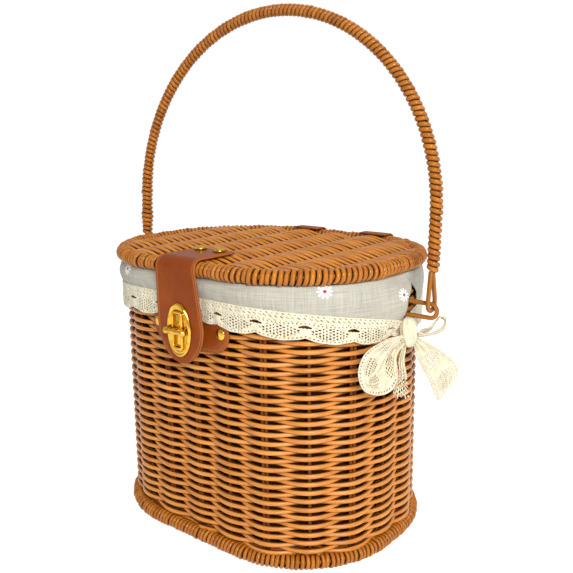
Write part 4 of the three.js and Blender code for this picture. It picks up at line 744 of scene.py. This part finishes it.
STRAP_BACK, STRAP_TOP, FOLD_Y, FOLD_UP = -57.0, 220.7, -91.5, 213.7
FLAP_Y, FLAP_WIDE_Z, FLAP_END = -99.0, 172.0, 145.0
STRAP_X, STRAP_HALF, FOLD_HALF, FLAP_HALF = -2.0, 19.0, 20.0, 23.0
CLASP_X, CLASP_Z, CUT_HALF, CUT_TALL = 1.5, 169.5, 4.4, 13.4
on_top = np.linspace(STRAP_BACK, FOLD_Y, 40)[:-1]
bow_over = np.radians(np.linspace(0, 90, 15))
hanging = np.linspace(FOLD_UP, FLAP_WIDE_Z, 44)[1:]
rounding = np.radians(np.linspace(0, 89, 44))[1:]
flap_rows = hanging.size + rounding.size
y = np.concatenate([on_top, FOLD_Y + (FLAP_Y - FOLD_Y) * np.sin(bow_over), np.full(flap_rows, FLAP_Y)])
z = np.concatenate([np.full(on_top.size, STRAP_TOP), FOLD_UP + (STRAP_TOP - FOLD_UP) * np.cos(bow_over), hanging,
                    FLAP_WIDE_Z - (FLAP_WIDE_Z - FLAP_END) * np.sin(rounding)])
middle = np.stack([0 * y, y + OVAL_BACK, z], 1)
out = np.stack([0 * y, np.concatenate([0 * on_top, -np.sin(bow_over), np.full(flap_rows, -1.0)]),
                np.concatenate([0 * on_top + 1, np.cos(bow_over), np.zeros(flap_rows)])], 1)
half = np.concatenate([np.full(on_top.size, STRAP_HALF), np.linspace(STRAP_HALF, FOLD_HALF, bow_over.size),
                       np.linspace(FOLD_HALF, FLAP_HALF, hanging.size), FLAP_HALF * np.cos(rounding)])
centre = np.concatenate([np.full(on_top.size + bow_over.size, STRAP_X), np.linspace(STRAP_X, CLASP_X, hanging.size),
                         np.full(rounding.size, CLASP_X)])
aslant = np.concatenate([np.ones(y.size - rounding.size), 1 / np.maximum(np.cos(rounding), 0.3)])
points, tone = strip(middle, out, centre - half, centre + half, 1.0, 0.28, narrow=aslant)
ring_next = np.roll(points, -1, 1)
face = (points[:-1] + points[1:] + ring_next[:-1] + ring_next[1:]) / 4
keep = ~((np.abs(face[..., 0] - CLASP_X) < CUT_HALF) & (np.abs(face[..., 2] - CLASP_Z) < CUT_TALL))
strap_and_flap = piece("strap_and_flap", [patch(points, ring=True, keep=keep, caps=True, tone=tone)], leather, None,
                       ["strap", "flap"])
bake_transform(strap_and_flap)

# Wall patch: a leather patch with round ends on the front of the wall, under the lace, that carries the clasp.
# Its upper edge is rounded, and a crease is pressed in along it.
PATCH_BACK, PATCH_SIZE = -88.7, (38.5, 15.5, 15.5)
patch_rows = ((-14.8, 2.0), (-9.0, 2.0), (-2.6, 2.0), (-2.0, 1.75), (-1.4, 2.0), (-0.6, 1.95), (-0.15, 1.6),
              (0.0, 1.1), (0.0, 0.6), (-0.3, 0.1), (-5.0, 0.0), (-14.8, 0.0))  # outset and height
stadium = np.linspace(0, girth(*PATCH_SIZE), 120, endpoint=False)
outline = np.stack([oval(stadium, *PATCH_SIZE, outset + 0 * stadium)[0] for outset, _ in patch_rows])
points = np.stack([outline[..., 0] + CLASP_X,
                   PATCH_BACK + OVAL_BACK - np.array(patch_rows)[:, 1:] + 0 * outline[..., 0],
                   outline[..., 1] - OVAL_BACK + CLASP_Z], -1)
# Painted highlight: the rows along the crease and the rounded upper edge have a raised tone, which the leather draws
# lighter.
tone = np.repeat([0, 0, 0.1, 0.5, 0.1, 0.2, 0.3, 0.2, 0, 0, 0, 0], stadium.size)
piece("leather_patch", [patch(points, ring=True, caps=True, tone=tone)], leather, "basket",
      ["clasp_patch"])

# Hinge straps: two strips of thinner leather, sewn to the skirt's back and looped up round the lid's back rim.
LOOP_Y, LOOP_RADIUS, TAB_Y, HINGE_HALF = 91.5, 6.7, 93.5, 13.0
for side_name, x in (("left", -25.0), ("right", 45.0)):
    angle = np.radians(np.linspace(90, -50, 30))
    y = np.concatenate([np.linspace(LOOP_Y - 9, LOOP_Y, 8)[:-1], LOOP_Y + LOOP_RADIUS * np.cos(angle),
                        np.linspace(94.9, TAB_Y, 4), np.full(9, TAB_Y)])
    z = np.concatenate([np.full(7, LID_Z + LOOP_RADIUS), LID_Z + LOOP_RADIUS * np.sin(angle),
                        np.linspace(208.0, 206.4, 4), np.linspace(205.6, 198.1, 9)])
    ahead = np.stack([np.gradient(y), np.gradient(z)], 1)
    ahead /= np.linalg.norm(ahead, axis=1, keepdims=True)
    out = np.stack([0 * y, -ahead[:, 1], ahead[:, 0]], 1)
    points, tone = strip(np.stack([0 * y, y + OVAL_BACK, z], 1), out, x - HINGE_HALF + 0 * y, x + HINGE_HALF + 0 * y,
                         0.7, 0.15)
    hinge = piece("hinge_strap_" + side_name, [patch(points, ring=True, caps=True, tone=tone)], leather, None,
                  ["hinge_loop_" + side_name, "hinge_tab_" + side_name])
    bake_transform(hinge)

# Clasp: an oval brass turn-lock. A slotted plate is fixed through the flap to a second plate behind it, and a
# cross-bar on a post turns on a block that stands on the patch and fills the slot.
brass, tree, skin = new_finish("polished_brass")
where = node(tree, "TexCoord").outputs["Object"]
# Handling leaves fine cloudy wear some 4 mm across and hairlines 0.4 mm apart, drawn 0.8 mm apart.
clouds = node(tree, "TexNoise", {"Vector": where, "Scale": 240.0, "Detail": 3.0})
hairs_at = node(tree, "Mapping", {0: where, 3: (1250.0, 1250.0, 160.0)})
hairs = node(tree, "TexNoise", {"Vector": hairs_at, "Scale": 1.0, "Detail": 1.0})
colour = node(tree, "ValToRGB", {0: clouds}, [(0.3, "#C08E2C"), (0.7, "#E2B950"), (0.5, "#D2A23C")])
rough = node(tree, "MapRange", {"Value": clouds, "To Min": 0.12, "To Max": 0.24})
bump = node(tree, "Bump", {"Strength": 0.02, "Distance": 0.0001, "Height": hairs})
node(tree, skin, {"Base Color": colour, "Metallic": 1.0, "Roughness": rough, "Normal": bump})

SLOT = (3.6, 12.5, 0.9)  # mm, half width, half height and corner
PLATE_HALF, PLATE_TALL, PLATE_BACK = 12.0, 20.0, -100.3
slot_run = np.linspace(0, girth(*SLOT), 96, endpoint=False)


def slot_line(outset):
    """Points round the slot, moved outwards, in the plane of the plate."""
    points = oval(slot_run, *SLOT, outset + 0 * slot_run)[0]
    return np.stack([points[:, 0], points[:, 1] - OVAL_BACK], 1)


def facing(flat, y):
    """Points of the clasp's own plane set at a distance along Y."""
    return np.stack([flat[..., 0] + CLASP_X, y + OVAL_BACK + 0 * flat[..., 0], flat[..., 1] + CLASP_Z], -1)


FRAME_WIDE = 1.6  # mm, from the slot to where the plate's oval face starts
bearing = np.arctan2(*slot_line(FRAME_WIDE).T[::-1])
way = np.stack([np.cos(bearing), np.sin(bearing)], 1)
ellipse = way / np.linalg.norm(way / [PLATE_HALF, PLATE_TALL], axis=1, keepdims=True)
plate_rows = ((0.0, 0.2), (0.0, 1.5), (0.35, 1.65), (0.62, 1.65), (0.68, 1.9), (0.76, 1.95), (0.86, 1.6),
              (0.96, 0.9), (1.0, 0.5), (1.0, 0.0), (0.9, 0.0))  # share of the way to the rim, and height
plate = np.stack([facing(slot_line(FRAME_WIDE) * (1 - share) + ellipse * share, PLATE_BACK - high)
                  for share, high in plate_rows])
frame_rows = ((0.0, -3.3), (0.0, 2.7), (0.3, 3.0), (1.2, 3.0), (1.7, 2.6), (1.9, 1.4), (1.0, 0.3), (0.5, -3.3))
slot_frame = np.stack([facing(slot_line(outset), PLATE_BACK - high) for outset, high in frame_rows])
piece("clasp_front_plate", [patch(plate, ring=True), patch(slot_frame, ring=True)], brass, "flap",
      ["clasp_plate"])

BAR_Y, BAR_HALF, BAR_THICK, POST_FOOT, POST_RADIUS, RIDGE_STEP = -104.8, 11.0, 1.9, -101.9, 2.3, 1.5
along = np.sin(np.linspace(-math.pi / 2, math.pi / 2, 61))
ridges = 0.16 * np.cos(along * BAR_HALF * 2 * math.pi / RIDGE_STEP) * (np.abs(along) > 0.5)
thick = BAR_THICK + 1.0 * np.exp(-((np.abs(along) - 0.76) / 0.2) ** 2) + 0.5 * np.exp(-(along / 0.2) ** 2) + ridges
thick = thick * np.sqrt(np.clip(1 - np.clip((np.abs(along) - 0.84) / 0.16, 0, 1) ** 2, 0.0004, 1))
bar = rod(np.stack([CLASP_X + BAR_HALF * along, 0 * along + BAR_Y + OVAL_BACK, 0 * along + CLASP_Z], 1),
          [0, -1.0, 0], thick, sides=20)
post_line = np.linspace([CLASP_X, BAR_Y + OVAL_BACK, CLASP_Z], [CLASP_X, POST_FOOT + OVAL_BACK, CLASP_Z], 6)
post = rod(post_line, [0, 0, 1.0], POST_RADIUS, sides=20)
piece("clasp_cross_bar", [bar, post], brass, "knob", ["turn_knob"])
seat_rows = ((4.0, -90.7), (4.0, -92.4), (3.5, -93.1), (-0.6, -93.1), (-0.6, -101.3), (-0.8, -101.6))
seat = np.stack([facing(slot_line(outset), y) for outset, y in seat_rows])
piece("clasp_seat_block", [patch(seat, ring=True, caps=True)], brass, "basket", ["knob_seat"])
bpy.data.objects["clasp_back_plate"].data.materials.clear()
bpy.data.objects["clasp_back_plate"].data.materials.append(brass)


# Rivets and eyelets: domed brass rivets hold the patch to the wall, and two brass eyelets the strap to the lid.
def turned_on_lathe(centre, profile, side, up, axis):
    """A shape turned on a lathe: rows of a radius and a height, carried round the axis."""
    angle = np.linspace(0, 2 * math.pi, 40, endpoint=False)[None, :, None]
    radius, high = np.array(profile)[:, 0, None, None], np.array(profile)[:, 1, None, None]
    round_it = np.cos(angle) * np.array(side) + np.sin(angle) * np.array(up)
    return patch(np.array(centre) + radius * round_it + high * np.array(axis), ring=True, caps=profile[-1][0] < 1)


DOME = ((4.2, 0.0), (4.2, 0.45), (4.0, 0.85), (3.4, 1.25), (2.5, 1.55), (1.3, 1.75), (0.3, 1.8))
RING = ((2.3, -1.5), (2.2, 0.9), (2.5, 1.9), (3.1, 2.4), (3.9, 2.2), (4.7, 1.3), (5.0, 0.2), (4.2, 0.0))
RIVET_HALF_SPACE, EYELET_HALF_SPACE, EYELET_Y, EYELET_Z = 31.5, 9.8, -63.5, 221.8
for end, side_name in ((-1, "left"), (1, "right")):
    at = (CLASP_X + end * RIVET_HALF_SPACE, PATCH_BACK - 2.0 + OVAL_BACK, CLASP_Z)
    piece("rivet_dome_" + side_name, [turned_on_lathe(at, DOME, (1, 0, 0), (0, 0, 1), (0, -1, 0))], brass, "basket",
          ["patch_rivet_" + side_name])
    at = (STRAP_X + end * EYELET_HALF_SPACE, EYELET_Y + OVAL_BACK, EYELET_Z)
    piece("eyelet_ring_" + side_name, [turned_on_lathe(at, RING, (1, 0, 0), (0, 1, 0), (0, 0, 1))], brass, "lid",
          ["strap_eyelet_" + side_name])

# Bow: a length of the same cotton lace as a ribbon, tied under the right-hand staple: a long loop and a frayed tail
# to the front, a short loop and a wide tail to the back, and a knot wrapped round them.
KNOT, RIBBON, RIBBON_STEP = np.array([131.3, OVAL_BACK, 167.0]), 20.0, 0.6


def smooth_line(points, count):
    """A line through points, divided evenly by length.

    Between two points it is a cubic, whose slope at each of them is half the step between its neighbours."""
    p = np.array(points, float)
    p = np.concatenate([2 * p[:1] - p[1:2], p, 2 * p[-1:] - p[-2:-1]])
    t = np.linspace(0, 1, 25)[:, None, None]
    a, b, c, d = p[:-3], p[1:-2], p[2:-1], p[3:]
    spans = 0.5 * (2 * b + (c - a) * t + (2 * a - 5 * b + 4 * c - d) * t ** 2 + (3 * b - a - 3 * c + d) * t ** 3)
    line = np.concatenate([spans[:-1].transpose(1, 0, 2).reshape(-1, 3), p[-2:-1]])
    length = np.concatenate([[0], np.cumsum(np.linalg.norm(np.diff(line, axis=0), axis=1))])
    even = np.linspace(0, length[-1], count)
    return np.stack([np.interp(even, length, line[:, k]) for k in range(3)], 1), length[-1]


def ribbon(name, one_edge, other_edge, fray, stands_for):
    """A ribbon ruled between two edge lines, with pleats that die out away from the knot and real holes."""
    length = max(smooth_line(one_edge, 2)[1], smooth_line(other_edge, 2)[1])
    rows = int(length / RIBBON_STEP)
    one, other = smooth_line(one_edge, rows)[0], smooth_line(other_edge, rows)[0]
    share = np.linspace(0, 1, 35)[None, :]
    run = np.linspace(0, length, rows)[:, None]
    out = np.cross(other - one, np.gradient((one + other) / 2, axis=0))
    out /= np.linalg.norm(out, axis=1, keepdims=True)
    pleat = 0.9 * np.sin(share * 2 * math.pi * 3 + 0.6) * (0.35 + 0.65 * np.exp(-run / 22.0))
    wave = 0.8 * np.sin(run / 7.0 + 3.0 * share)
    points = one[:, None] * (1 - share[..., None]) + other[:, None] * share[..., None]
    points = points + out[:, None] * (pleat + wave)[..., None] + KNOT
    u = share * RIBBON
    uv = np.stack(np.broadcast_arrays(u, run), -1)
    cu, cv = (u[:, 1:] + u[:, :-1]) / 2, (run[1:] + run[:-1]) / 2
    spots = np.hypot((np.mod(cv + 12.0, 26.0) - 13.0) / 1.3, cu - RIBBON / 2) < 6.5
    mesh = round_mesh(cu, cv, 2.3, 2.3, 0.72) & spots & (cv > 14.0)
    edge_row = hole_row(cv, np.minimum(cu, RIBBON - cu) - 1.9, 2.6, 0.6) & (cv > 10.0)
    from_end = length - cv
    torn = from_end < fray * (0.5 + 0.5 * np.sin(2.7 * cu + 1) * np.sin(1.3 * cu))
    pulled = round_mesh(cu, cv, 3.0, 3.2, 1.15) & (from_end < 3.2 * fray)
    keep = ~(mesh | edge_row | torn | pulled)
    made = thin(piece(name, [patch(points, uv=uv, keep=keep)], lace_cotton, None, [stands_for]), YARN)


def set_out(points):
    """Distances across, up and outwards from the knot, in axes turned 39 degrees about the upright, as X, Y, Z."""
    across, up, outward = np.array(points, float).T
    turn = math.radians(39.0)
    return np.stack([across * math.cos(turn) + outward * math.sin(turn),
                     across * math.sin(turn) - outward * math.cos(turn), up], 1)


ribbon("bow_front_loop",
       set_out([(-4, -3, 5), (-17.5, -0.5, 16), (-26.5, -0.5, 26), (-34.5, -4, 34), (-38.5, -11.5, 38),
                (-39.5, -19.5, 39), (-37.5, -27.5, 39), (-33, -32, 37), (-25, -34.5, 33), (-17.5, -33.5, 28),
                (-13, -29, 24), (-11.5, -22, 20), (-11.5, -13.5, 14), (-4, -5, 5)]),
       set_out([(-4, 0, 2), (-13.5, -6, 9), (-15.5, -10, 11), (-19, -16, 15), (-25, -21, 20), (-30, -24, 24),
                (-29.5, -24.5, 21), (-27, -21.5, 17), (-23, -17.5, 12), (-19, -12.5, 8), (-14.5, -7, 5),
                (-4, -4, 2)]), 0.0, "bow_loop_front")
ribbon("bow_front_tail",
       set_out([(-5, -6, 2), (-9.5, -18.5, 6), (-9, -26, 9), (-11.5, -34.5, 11), (-14, -44, 12)]),
       set_out([(-3, -7, 2), (-5, -17.5, 8), (-4.5, -25, 12), (-3.5, -34.5, 14), (-2, -46, 15)]),
       5.0, "bow_tail_front")
ribbon("bow_back_loop",
       [(5, 2, 1), (8, 10, -1), (11, 19, -1), (14, 25, 2), (14.5, 26, 7), (12, 23, 10), (10, 21, 6), (7, 17, 1),
        (4, 8, 0)],
       [(1, 8, -4), (4, 16, -6), (7, 25, -6), (10, 31, -3), (10.5, 32, 2), (8, 29, 5), (6, 27, 2), (3, 23, -3),
        (1, 13, -4)], 0.0, "bow_loop_back")
ribbon("bow_back_tail",
       [(3, 4, -3), (8, 18, -12), (12, 33, -22), (14, 42, -30), (15, 46, -38), (14, 43, -47)],
       [(1, 3, -9), (2, 9, -22), (3, 17, -34), (5, 26, -48), (6, 35, -62)], 1.0, "bow_tail_back")
KNOT_HALF, KNOT_SHIFT = (5.7, 5.8, 10.6), [0.6, -3.6, 1.0]
angle = np.linspace(0, 2 * math.pi, 49)[None, :]
up = np.radians(np.linspace(-88, 88, 33))[:, None]
pucker = 1 + 0.08 * np.sin(7 * angle + 3 * up) + 0.03 * np.sin(17 * angle)
girdle = np.abs(np.cos(up)) ** 0.6 * pucker
knot_points = KNOT_HALF * np.stack([girdle * np.cos(angle), girdle * np.sin(angle), np.sin(up) + 0 * angle], -1)
knot_points = knot_points + KNOT + KNOT_SHIFT
uv = np.stack(np.broadcast_arrays(angle * 6.0, up * 11.0), -1)
piece("bow_wrapped_knot", [patch(knot_points[:, :-1], ring=True, uv=uv, caps=True)], lace_cotton, "basket",
      ["bow_knot"])
